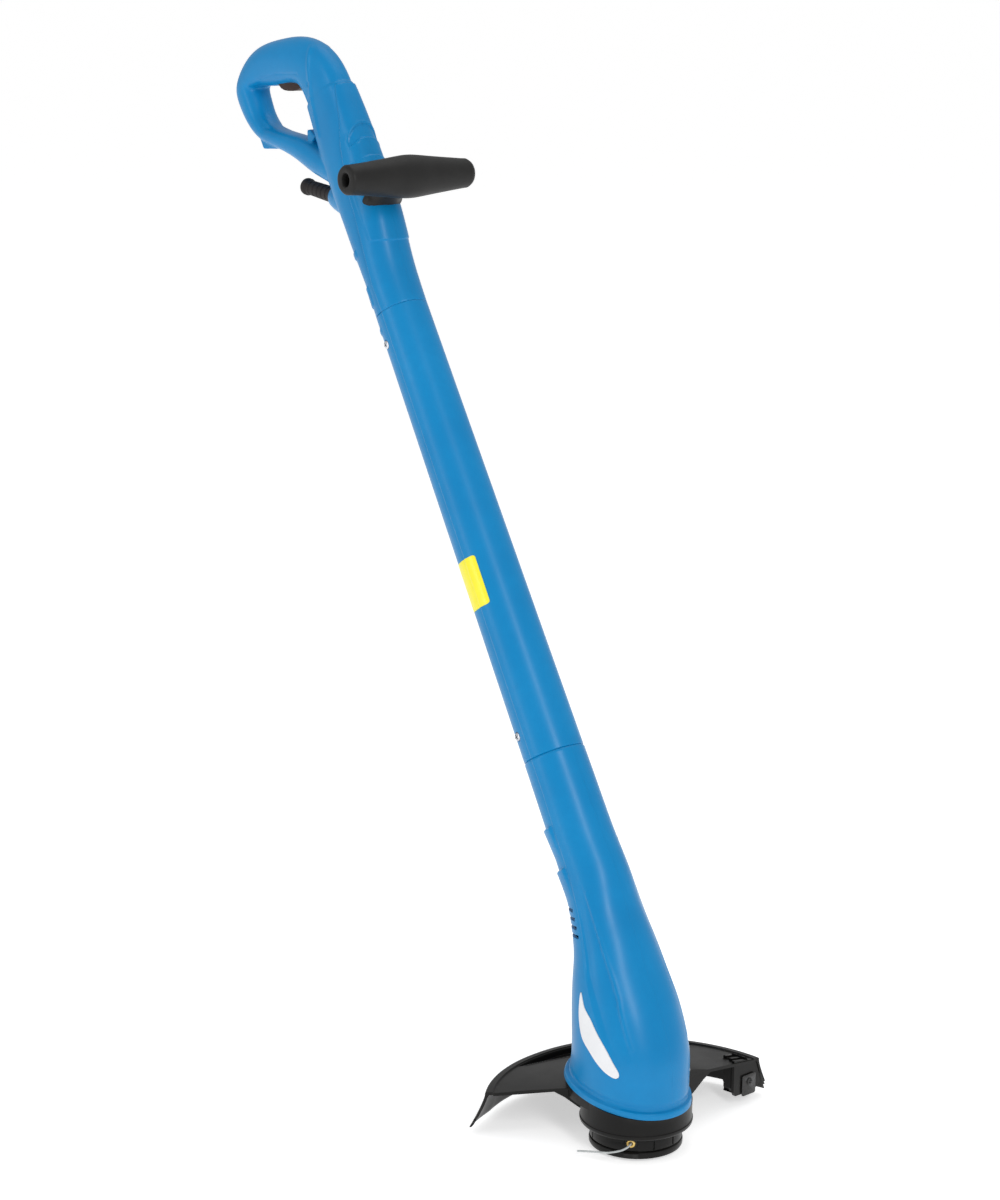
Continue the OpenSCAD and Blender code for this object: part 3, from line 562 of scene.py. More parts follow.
plastic("ferrite", (0.045, 0.043, 0.042), (0.025, 0.024, 0.023), (0.075, 0.07, 0.068), 0.72, 1100, 0.6, 0.1, cloud=80)
plastic("carbon", (0.03, 0.03, 0.032), (0.015, 0.015, 0.016), (0.06, 0.06, 0.064), 0.6, 1500, 0.5, 0.06, cloud=120)
plastic("brass_ring", (0.66, 0.46, 0.14), (0.46, 0.30, 0.08), (0.80, 0.60, 0.25), 0.26, 2400, 0.3, 0.03,
        metallic=1.0, cloud=150, rough_spread=0.2)
plastic("white_inlay", (0.76, 0.77, 0.79), (0.70, 0.71, 0.73), (0.82, 0.83, 0.84), 0.42, 1500, 0.15, 0.03,
        scratch=0.1, rough_spread=0.08)
plastic("yellow_label", (0.86, 0.78, 0.004), (0.80, 0.72, 0.004), (0.90, 0.83, 0.02), 0.38, 2200, 0.15, 0.02,
        coat=0.25, coat_rough=0.12, scratch=0.15)
plastic("line_nylon", (0.45, 0.47, 0.47), (0.36, 0.38, 0.38), (0.55, 0.57, 0.57), 0.35, 2500, 0.3, 0.03, cloud=200)


def banded(name, base, dark, pitch_mm, axis, rough, metallic):
    """Stacked sheets or wound turns: fine bands across one axis."""
    g = plastic(name, base, dark, tuple(min(1, c * 1.3) for c in base), rough, metallic=metallic, cloud=60)
    w = g.t.nodes.new("ShaderNodeTexWave")
    w.bands_direction = axis
    w.inputs["Scale"].default_value = 1 / (pitch_mm * MM) / 20 * 3.14159
    w.inputs["Distortion"].default_value = 0.4
    g.link(g.co, w.inputs["Vector"])
    g.link(g.bump(w.outputs["Fac"], 0.5, 0.0003), g.bsdf.inputs["Normal"])
    return g


banded("lamination", (0.30, 0.30, 0.31), (0.2, 0.2, 0.21), 0.5, "Z", 0.4, 0.9)


# ---- the free cutting line
EYE_TURN = 47.0  # degrees from the front to the eyelet, towards the left


def out_at(r, z):
    """A point straight out through the eyelet."""
    t = math.radians(EYE_TURN)
    return [-r * math.sin(t), -r * math.cos(t), z]


LINE = [out_at(34.4, 16), out_at(38.9, 16), [-33.2, -27.8, 14.6], [-38.3, -25.1, 12.2], [-44.7, -18, 9.8],
        [-48.5, -10.5, 8.7], [-53.1, -3.6, 8.1], [-58.7, 3.2, 7.6]]


def catmull(points, per, loop=False):
    """A smooth curve through the points, in so many steps from each to the next."""
    p = np.asarray(points, float)
    p = np.r_[p[-1:], p, p[:2]] if loop else np.r_[[2 * p[0] - p[1]], p, [2 * p[-1] - p[-2]]]
    out = []
    for k in range(1, len(p) - 2):
        a, b, c, d = p[k - 1 : k + 3]
        for i in range(per):
            t = i / per
            cubic = (3 * b - a - 3 * c + d) * t**3
            out.append(0.5 * (2 * b + (c - a) * t + (2 * a - 5 * b + 4 * c - d) * t**2 + cubic))
    if not loop:
        out.append(p[-2])
    return np.array(out)


def cutting_line():
    pts = catmull(LINE, 4) * MM
    thick = 0.0016
    cu = bpy.data.curves.new("cutting_line", "CURVE")
    cu.dimensions = "3D"
    cu.bevel_depth = thick / 2
    cu.bevel_resolution = 4
    cu.use_fill_caps = True
    sp = cu.splines.new("POLY")
    sp.points.add(len(pts) - 1)
    for q, p in zip(sp.points, pts):
        q.co = (*p, 1)
    ob = add("cutting_line", cu)
    cu.materials.append(MAT["line_nylon"])
    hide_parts("trim_line")
    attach(ob, "spinner")


cutting_line()


# ---- handle
COLUMN = [[0, 603, 0, 22.2, 22.2, 22.2, 2], [0, 640, 0, 22, 22.5, 22.5, 2.05], [0, 665, 0, 21.8, 26, 23, 2.2],
          [0, 690, 0, 21.3, 29.6, 23, 2.35], [0, 720, 0, 20, 31, 24, 2.5], [0, 745, 0, 18, 31.6, 25, 2.7],
          [0, 775, 0, 16.3, 31, 23, 2.9], [0, 803, 0, 15.4, 29, 21, 2.9]]
D_RING = [[-2, 745, 0, 16, 24, 22, 2.6], [-2, 790, 4, 15.2, 26.5, 21, 2.6], [2, 821, 27, 15.2, 27, 20, 2.5],
          [13, 838, 48, 15, 25.5, 16, 2.4], [38, 858, 62, 15, 19.4, 20, 2.4], [67, 868, 80, 15, 17.8, 16.5, 2.4],
          [85.5, 866, 120, 14.8, 17.2, 10, 2.4], [96, 862, 158, 14.5, 15, 11, 2.4], [98.5, 850, 180, 14, 14, 12, 2.3],
          [98.5, 838, 188, 13.8, 11.3, 11, 2.3], [92, 822, 206, 13.5, 11, 7.8, 2.3], [75, 803, 221, 13, 9.4, 7.6, 2.3],
          [52, 782, 222, 13.5, 11.6, 10, 2.3], [34, 761, 220, 15, 12.6, 12.6, 2.3], [16, 742, 215, 16.5, 12.6, 14, 2.3],
          [0, 722, 205, 17, 13, 15, 2.3]]
# screws: up the shaft, forward of its axis, and how far right of the parting plane the head sits
HANDLE_SCREWS = [[645, -9, 17.5], [695, -10, 16.5], [761, 8, 12.5], [827, 4, 9], [865, -84, 10], [785, -56, 9]]
SCREW_HOLE_R, SCREW_SINK = 3.3, 2.2
GRIP_S, GRIP_N, GRIP_R = 694, 66, 18.0
# where the front panel's edge runs along the side: distance up the shaft, distance forward of its axis
EDGE_S = [-60, 30, 47, 72, 105, 145, 176, 208, 600, 628, 650, 667, 689, 704, 733, 750, 770, 797, 830]
EDGE_N = [-6.2, -6.2, -3.5, -0.5, 1.6, 1.3, 2.5, 2.2, 2.0, 1.5, 4.3, 6.4, 8.8, 9.1, 13.1, 16, 22.4, 26, 30]


def edge_n(s):
    return np.interp(s, EDGE_S, EDGE_N)


def to_path(s, n, path):
    """Distance in the side view to a polyline of (s, n) points."""
    best = np.full(len(s), 1e9)
    for (s0, n0), (s1, n1) in zip(path[:-1], path[1:]):
        ds, dn = s1 - s0, n1 - n0
        t = np.clip(((s - s0) * ds + (n - n0) * dn) / (ds * ds + dn * dn), 0, 1)
        best = np.minimum(best, np.hypot(s - s0 - t * ds, n - n0 - t * dn))
    return best


def cylinder_x(name, r, x0, x1, m, n=40):
    return lathe(name, [(0, x0), (r, x0), (r, x1), (0, x1)], n, m @ rot(90, "Y"))


def handle():
    parts = [loft("column", COLUMN, 110, 2.0, m=SHAFT), loft("ring", D_RING, 110, 2.0, m=SHAFT),
             lathe("boss", [(0, -22), (16.5, -22), (15.4, -8), (13.8, 1), (12.2, 9), (10.7, 14), (9.9, 16.4), (8.8, 17),
                            (0, 17)], 72, GLAND),
             prism("hook", rounded([(102.1, 818.4), (101.7, 807.4), (79.7, 795.8), (70, 806), (88, 824)], 1.6), -6.5,
                   6.5, SHAFT, "x"),
             prism("tab", rounded([(37, 784), (34, 790), (30, 788.5), (26, 780), (38, 776)], 1.0), -7, 7, SHAFT, "x")]
    ob = remesh(join("handle", parts), 0.8, smooth=5)
    world = coords(ob)
    x, y, s = back(SHAFT, world).T
    n = -y
    ax = np.abs(x)
    d = np.zeros(len(x))
    panel = smoothstep(n - edge_n(s), -0.7, 0.7) * (1 - smoothstep(s, 799.6, 801.0))
    rise = np.interp(s, [603, 625, 660, 800], [0.3, 0.9, 1.4, 1.4])
    rear_drop = np.interp(s, [603, 625, 690, 740], [0.3, 0.9, 0.7, 0.0])
    d += panel * rise - (1 - panel) * rear_drop
    # the sunk arch above the front grip's pad
    front = smoothstep(n, 8, 12)
    u, v = x / 14.5, (s - 745.6) / 16.0
    arch = np.minimum((1 - np.hypot(u, v)) * 14.5, s - (742.5 + 5.5 * (1 - u * u)))
    d -= 1.3 * smoothstep(arch, 0, 1.1) * front
    d += 0.25 * bump(arch + 0.8, 0.9) * front * smoothstep(s, 738, 742)
    pad = 38 - np.hypot(x, s - GRIP_S)
    d += 0.8 * smoothstep(pad, 0, 1.0) * smoothstep(n, 13, 16)
    # a ridge and a groove along the side, the trigger pin's dimple, two ribs at the back
    side = smoothstep(ax, 6, 10)
    d += 0.8 * bump(to_path(s, n, [(846, 12), (803, -4), (772, -9)]), 2.4) * side
    d -= 0.45 * bump(to_path(s, n, [(856, -66), (853.4, -56.4), (848.5, -42), (832, -12)]), 0.9) * side
    d -= 0.5 * (1 - smoothstep(np.hypot(s - 816.5, n + 1), 1.9, 2.6)) * (x < 0)
    for s0, half, up in ((661, 3.5, 0.9), (622, 9.5, 1.0)):
        d += up * smoothstep(half - np.abs(s - s0), 0, 1.6) * smoothstep(-n, 5, 9) * smoothstep(ax, 10, 13)
    # a shallow finger hollow along the rear post
    d -= 1.6 * bump(to_path(s, n, [(850, -76), (820, -84)]), 5.5) * side
    push(ob, d)
    column = [list(c) for c in COLUMN]
    column[0][1] -= 3
    column[-1][1] -= 2.5
    inner = [loft(name, rows, 90, 2.5, d=3.0, m=SHAFT) for name, rows in (("column", column), ("ring", D_RING))]
    boolean(ob, remesh(join("hollow", inner), 1.4))
    slot = prism("slot", rounded([(-6.5, -20), (6.5, -20), (6.5, 18.5), (-6.5, 18.5)], 2.0), -14, 9, TRIGGER)
    bore = lathe("bore", [(0, -14), (5.15, -14), (5.15, 20), (0, 20)], 48, GLAND)
    collar = lathe("collar", [(0, 11), (8.1, 11), (8.1, 14), (0, 14)], 48, GLAND)
    boolean(ob, [slot, bore, collar])
    boolean(ob, [cylinder_x("hole", SCREW_HOLE_R, x - SCREW_SINK, 40, shaft(s, n)) for s, n, x in HANDLE_SCREWS])
    for piece, node in zip(halves(ob, "handle_half_left", "handle_half_right"),
                           ("handle_shell_left", "handle_shell_right")):
        finish_piece(piece, "blue_plastic", node=node, angle=38)


handle()


def trigger():
    outline = [(-19, 3.4), (-18.8, 1.5), (-15.5, -1.2), (-10, -3.2), (-4, -4), (3, -3.9), (9, -3.2), (13.5, -1.6),
               (16.4, 0.8), (17, 3.4), (17.2, 10), (10.6, 10), (9, 6.6), (-19, 6.6)]
    ob = prism("trigger_lever_grip", rounded(outline, [0.6, 2, 4, 6, 6, 6, 6, 4, 3, 1.2, 0.6, 0.6, 0.6, 0.6], 5), -6, 6,
               TRIGGER, "x", bevel=1.3, segments=4)
    lug = block("lug", (-7.3, -18.8, 4.3), (7.3, 6.8, 6.3), TRIGGER, bevel=0.4)
    boolean(ob, lug, "UNION")
    boolean(ob, cylinder_x("pin", 1.58, -10, 10, TRIGGER @ move(0, 14, 7)))
    finish_piece(ob, "dark_trigger", "trigger_lever", node="trigger")


trigger()


def sleeve():
    outer = [(3.7, 2), (4.95, 2), (4.95, 11.2), (7.9, 11.3), (7.9, 13.8), (4.95, 13.9), (4.95, 17.05), (7.4, 17.1),
             (7.6, 17.8), (7.4, 19.4), (6.9, 20.2)]
    for k in range(5):
        z = 24 + k * 6.4
        outer += [(6.85 - 0.1 * k, z), (6.35 - 0.1 * k, z + 0.5), (6.35 - 0.1 * k, z + 1.3), (6.8 - 0.1 * k, z + 1.8)]
    outer += [(6.3, 54.6), (6.5, 55.6), (7.1, 56.3), (7.4, 57.4), (7.4, 59.8), (7.1, 61), (6.3, 61.9), (4.6, 62),
              (3.9, 61.6), (3.7, 60.8)]
    ob = lathe("cord_sleeve_stub", outer, 72, GLAND)
    finish_piece(ob, "black_rubber", node="cord_sleeve", angle=40)


sleeve()
GRIP = shaft(GRIP_S, GRIP_N) @ rot(90, "Y")


def grip():
    z = np.linspace(-61.5, 59, 90)
    r = np.interp(z, [-64, -44, -28, -14, -7, 0, 7, 14, 28, 44, 60],
                  [12.0, 13.5, 15.2, 16.75, 17.6, GRIP_R, 17.6, 16.75, 15.2, 13.6, 12.0])
    r = np.convolve(np.pad(r, 4, mode="edge"), np.ones(9) / 9, mode="valid")
    prof = [(5.6, -20), (5.6, -62.8), (6.2, -63.7), (7.4, -64), (9.6, -64), (10.9, -63.5), (11.7, -62.6)]
    prof += list(zip(r, z))
    prof += [(11.4, 60.6), (10.5, 62), (9.2, 63.1), (7.4, 63.8), (5, 64), (0, 64), (0, -20)]
    ob = lathe("front_grip_bar", prof, 128, GRIP)
    finish_piece(ob, "black_grip", node="front_grip", angle=30)
    foot_m = shaft(GRIP_S, 27) @ rot(90) @ Matrix.Diagonal((1, 0.54, 1, 1))
    foot = lathe("grip_foot_saddle", [(0, -9), (19, -9), (18.8, -2), (17.8, 1.2), (15.8, 4), (14.5, 8), (13.7, 14),
                                      (13.2, 22), (12.9, 33), (0, 33)], 96, foot_m, fine=1.2)
    boolean(foot, cylinder_x("grip", GRIP_R + 0.05, -40, 40, shaft(GRIP_S, GRIP_N), 96))
    boolean(foot, loft("column", COLUMN, 120, 3.0, d=-0.85, m=SHAFT))
    finish_piece(foot, "black_grip", node="grip_foot", angle=40)


grip()


# ---- tube
TUBE_SCREWS, TUBE_SCREW_N = (230, 577), -7
LABEL_S0, LABEL_S1, LABEL_HALF, LABEL_CORNER = 339, 381, 12.5, 2.2


def tube_r(s):
    return TUBE_R0 + (TUBE_R1 - TUBE_R0) * (np.asarray(s, float) - TUBE_S0) / (TUBE_S1 - TUBE_S0)


def screw_seat(s):
    """How far left the tube's skin is where a screw goes in."""
    return math.sqrt(float(tube_r(s)) ** 2 - TUBE_SCREW_N**2)


def tube_skin(s, a):
    """Outer radius of the tube at a height and an angle from +X; the front half stands a little proud."""
    r = tube_r(s)
    n = -r * np.sin(a)
    front = smoothstep(n - edge_n(s), -0.6, 0.6)
    return r - 0.3 + 0.6 * front


def tube():
    n = 300
    a = np.linspace(0, 2 * np.pi, n, endpoint=False)[None, :]
    s = np.r_[208.08, 208.3, 208.9, np.linspace(210, 601.6, 160), 602.5, 602.8, 602.95][:, None]
    cut = np.interp(s, [208.08, 208.3, 208.9, 602.5, 602.8, 602.95], [1.0, 0.75, 0, 0, 0.15, 0.4])
    r = tube_skin(s, a) - cut
    rear = smoothstep(r * np.sin(a), 6, 9) * smoothstep(np.abs(r * np.cos(a)), 10, 13)
    r = r + 0.8 * smoothstep(3 - np.abs(s - 591), 0, 1.5) * rear
    out = np.stack([r * np.cos(a), r * np.sin(a), s + 0 * a], -1)
    si = np.linspace(602.95, 208.08, 60)[:, None]
    ri = tube_r(si) - 2.3 + 0 * a
    inn = np.stack([ri * np.cos(a), ri * np.sin(a), si + 0 * a], -1)
    v = np.concatenate([out, inn]).reshape(-1, 3)
    ob = closed_mesh("shaft_tube_skin", v, grid_faces(len(s) + len(si), n, loop=True), SHAFT)
    for s0 in TUBE_SCREWS:
        seat = screw_seat(s0)
        boolean(ob, cylinder_x("pocket", 4.1, -seat - 8, -seat + 1.1, shaft(s0, TUBE_SCREW_N)))
        boolean(ob, cylinder_x("hole", 1.7, -seat - 8, -seat + 12, shaft(s0, TUBE_SCREW_N)))
    finish_piece(ob, "blue_plastic", node="shaft_tube")


tube()


def screw(name, m, head_r, t, shank_r, length):
    """A pan head screw with a cross slot: its seat is at local z = 0, the head, t high, above it."""
    prof = [(0, -length), (shank_r * 0.5, -length), (shank_r, -length + 1.4)]
    z = -length + 1.4
    while z < -1.4:
        prof += [(shank_r, z), (shank_r * 0.8, z + 0.35), (shank_r, z + 0.7)]
        z += 0.7
    prof += [(shank_r, -0.4), (shank_r, 0), (head_r * 0.96, 0), (head_r, t * 0.12), (head_r, t * 0.42),
             (head_r * 0.93, t * 0.68), (head_r * 0.78, t * 0.88), (head_r * 0.5, t * 0.98), (0, t)]
    clean = [prof[0]]
    for p in prof[1:]:
        if abs(p[0] - clean[-1][0]) + abs(p[1] - clean[-1][1]) > 1e-4:
            clean.append(p)
    ob = lathe(name, clean, 48, m)
    w = head_r * 0.13
    for turn in (20, 110):
        boolean(ob, block("slot", (-head_r * 0.62, -w, t * 0.35), (head_r * 0.62, w, t + 1),
                          m @ rot(turn, "Z")))
    return ob


def left_face(s, n, x):
    """A frame whose Z points out of the left side."""
    return shaft(s, n, x) @ rot(-90, "Y")


def tube_fittings():
    parts = [screw("screw", left_face(s, TUBE_SCREW_N, -screw_seat(s) + 1.05), 3.5, 1.9, 1.6, 9) for s in TUBE_SCREWS]
    finish_piece(join("tube_screw_pair", parts), "screw_steel", node="tube_screws")
    # the label: two sheets that follow the skin, joined round the rim
    rows, cols, c = 60, 44, LABEL_CORNER
    s = np.linspace(LABEL_S0, LABEL_S1, rows)
    edge = np.minimum(s - LABEL_S0, LABEL_S1 - s)
    inset = np.where(edge < c, c - np.sqrt(np.clip(c**2 - (c - edge) ** 2, 0, None)), 0)
    layers = []
    for lift in (0.32, 0.02):
        n = np.linspace(-1, 1, cols)[None, :] * (LABEL_HALF - inset)[:, None]
        r0 = tube_r(s)[:, None] + 0 * n
        a = np.arctan2(-n, -np.sqrt(r0**2 - n**2))
        r = tube_skin(s[:, None], a) + lift
        layers.append(np.stack([r * np.cos(a), r * np.sin(a), s[:, None] + 0 * n], -1))
    top, low = layers
    v = np.r_[top.reshape(-1, 3), low.reshape(-1, 3)]
    k = rows * cols
    f = grid_faces(rows, cols, closed=False, caps=False)
    faces = f + [[q + k for q in reversed(g)] for g in f]
    rim = (list(range(cols)) + [i * cols + cols - 1 for i in range(1, rows)]
           + [(rows - 1) * cols + i for i in range(cols - 2, -1, -1)] + [i * cols for i in range(rows - 2, 0, -1)])
    faces += [[rim[i], rim[i - 1], rim[i - 1] + k, rim[i] + k] for i in range(len(rim))]
    ob = closed_mesh("tube_label_sheet", v, faces, SHAFT)
    finish_piece(ob, "yellow_label", node="tube_label")


tube_fittings()


# ---- motor housing
def tube_sec(s, r, p):
    t = math.radians(LEAN)
    return [s * math.sin(t), AXIS_Z + s * math.cos(t), LEAN, r, r, r, p]


def housing_rows():
    return [[11, 45, -8, 43.3, 54.8, 54.8, 2.1], [10.2, 52, -6.5, 43.2, 53.6, 53.2, 2.1],
            [9.4, 60, -4, 43.2, 52.2, 51.2, 2.1], [8.5, 78, 0, 43.6, 49.5, 48.5, 2.15],
            [12, 100, 4, 43, 45.5, 45, 2.15], [17.5, 120, 9, 41, 41, 40.5, 2.15],
            [24.5, 140, 14, 38, 35.5, 34.5, 2.15], [31.5, 160, 20, 34, 31.5, 30, 2.1],
            [40, 180, 26, 31, 28, 27.5, 2.05], tube_sec(99, 27.8, 2.05), tube_sec(130, 26.6, 2),
            tube_sec(165, 25.9, 2), tube_sec(208, 25.4, 2)]


INLAY = [(24, 130), (18, 120), (9, 112), (2, 104), (-7, 94), (-14, 84.5), (-20, 75), (-18, 70.5), (-10, 73), (-1, 79),
         (8, 86.5), (17, 94), (22, 104), (24.5, 116)]
# screws: y, z, and how far right of the parting plane the head sits
HOUSING_SCREWS = [[-25, 64, 31.5], [50, 72, 24.5], [44, 146, 29], [56.5, 236.5, 22.5]]


def grow(poly, d):
    """Moves a closed 2D outline outwards by d."""
    p = np.asarray(poly, float)
    t = np.roll(p, -1, 0) - np.roll(p, 1, 0)
    t /= np.linalg.norm(t, axis=1)[:, None]
    nrm = np.stack([t[:, 1], -t[:, 0]], 1)
    area = 0.5 * np.sum(p[:, 0] * np.roll(p[:, 1], -1) - np.roll(p[:, 0], -1) * p[:, 1])
    return p + nrm * d * (1 if area > 0 else -1)


FLANGE_TILT = 8  # degrees; the flange's plane passes through y = 11, z = 45


def flange_height(p):
    t = math.radians(FLANGE_TILT)
    return -(p[..., 1] - 11) * math.sin(t) + (p[..., 2] - 45) * math.cos(t)


def housing_relief(p):
    """How far the housing's skin stands off its plain loft, in millimetres."""
    shape = p.shape[:-1]
    q = p.reshape(-1, 3)
    y, s = back(SHAFT, q).T[1:]
    n = -y
    h = flange_height(q)
    d = 2.2 * (1 - smoothstep(h, 4.6, 5.8)) - 1.1 * bump(h - 8.0, 2.8)
    # the side falls back between the two edges that run down from the tube
    n1 = np.interp(s, [-45, -38, 5, 19, 65, 95], [6, 7.3, 12.6, 12.8, 12.0, 12.1])
    n2 = edge_n(s)
    deep = np.interp(s, [-46, -30, 0, 40, 80, 100], [0, 1.0, 2.5, 2.3, 1.4, 0])
    d -= deep * smoothstep(n1 - n, -0.3, 1.6) * smoothstep(n - n2, -2.5, 3.5)
    d += 0.35 * bump(n - n1 - 0.9, 1.1) * (deep > 0.5)
    back_side = 1 - smoothstep(n - n2, -0.6, 0.6)
    d -= np.interp(s, [20, 47, 80, 208], [0, 0.7, 0.7, 0.3]) * back_side
    d += np.interp(s, [100, 208], [0, 0.3]) * (1 - back_side) * (s > 100)
    # scale-like cowls on the back above the vents
    rear = smoothstep(n2 - n, 1.5, 4.5)
    for top, low, up in ((152, 127, 2.3), (117, 92, 2.3)):
        ramp = np.clip((s - low) / (top - low), 0, 1) * (1 - smoothstep(s, top - 0.6, top + 0.9))
        d += up * ramp * rear
    # the top edge turns in at the joint with the tube
    d -= np.interp(s, [206.6, 207.4, 208.2], [0, 0.2, 1.0])
    return d.reshape(shape)


def housing():
    rows = spline(housing_rows(), 0.85)
    g = rings(rows, 300)
    du = np.gradient(g, axis=0)
    dv = np.roll(g, -1, 1) - np.roll(g, 1, 1)
    nrm = np.cross(dv, du)
    nrm /= np.linalg.norm(nrm, axis=2)[..., None]
    g = g + nrm * housing_relief(g)[..., None]
    ob = closed_mesh("housing", g.reshape(-1, 3), grid_faces(len(rows), 300))
    inner = housing_rows()
    inner[0] = [11.5, 42.5, -8, 43.3, 54.8, 54.8, 2.1]
    inner[-1] = tube_sec(211, 25.4, 2)
    boolean(ob, loft("inner", inner, 120, 2.0, d=3.4))
    cuts = []
    for k in range(4):
        for side in (-1, 1):
            m = shaft(67 + k * 7.2, -19) @ rot(24)
            cuts.append(block("vent", (8 if side > 0 else -60, -14, -1.5), (60 if side > 0 else -8, 14, 1.5), m))
    boolean(ob, cuts)
    core = loft("core", housing_rows(), 160, 1.5, d=1.45)
    skin = loft("skin", housing_rows(), 160, 1.5, d=-0.3)
    outline = catmull(INLAY, 6, loop=True)
    for side, node in ((-1, "side_inlay_left"), (1, "side_inlay_right")):
        x0, x1 = (20, 60) if side > 0 else (-60, -20)
        cutter = prism("cutter", grow(outline, 0.25), x0, x1, None, "x")
        boolean(cutter, core, keep=True)
        boolean(ob, cutter)
        inlay = prism(node + "_panel", outline, x0, x1, None, "x")
        boolean(inlay, skin, "INTERSECT", keep=True)
        boolean(inlay, core, keep=True)
        finish_piece(inlay, "white_inlay", node=node)
    drop(core, skin)
    boolean(ob, [cylinder_x("hole", SCREW_HOLE_R, x - SCREW_SINK, 60, move(0, y, z))
                 for y, z, x in HOUSING_SCREWS])
    boolean(ob, cylinder_x("pocket", 1.8, -30, -10, shaft(TUBE_SCREWS[0], TUBE_SCREW_N)))
    for piece, node in zip(halves(ob, "motor_housing_half_left", "motor_housing_half_right"),
                           ("motor_housing_left", "motor_housing_right")):
        finish_piece(piece, "blue_plastic", node=node, angle=34)


housing()


# ---- guard
GX, GY, G_A0, G_A1 = 6.0, -6.0, 4.0, 136.0  # the guard's own centre, and its two ends in degrees
FLARE = 6.5
GUARD_SCREWS = (-31, 31)


def above_flange(name):
    return block(name, (-200, -200, 0), (200, 200, 200), move(0, 11, 45) @ rot(FLANGE_TILT))


def polar(name, rings_rz, angles):
    """Cross-sections (r, z) at each angle about the guard's own centre, joined and closed."""
    v = []
    for a, sec in zip(angles, rings_rz):
        c, s = math.cos(math.radians(a)), math.sin(math.radians(a))
        v.append(np.stack([GX + sec[:, 0] * c, GY + sec[:, 0] * s, sec[:, 1]], 1))
    return closed_mesh(name, np.concatenate(v), grid_faces(len(angles), len(rings_rz[0])))


def plate_top(r, a):
    """Height of the guard's upper face: a flat crown, a slope, a sunk crescent and a raised rim."""
    w = r - 62
    soft = 0.5 * (w + np.sqrt(w * w + 60))
    z = 44.6 - 8.4 / 68 * soft
    t = np.clip((a - 31) / 77, 0, 1)
    inner = 124.0 - 25 * np.sin(np.pi * t) ** 0.75
    inside = (t > 0) & (t < 1)
    hole = smoothstep(r - inner, -0.2, 0.9) * (1 - smoothstep(r, 123.6, 124.4)) * inside
    z = z - 5.0 * hole
    z = z + 0.5 * bump(r - (inner - 0.9), 0.9) * inside * (t > 0.02) * (t < 0.98)
    return z + 1.1 * smoothstep(r, 125.0, 126.0)


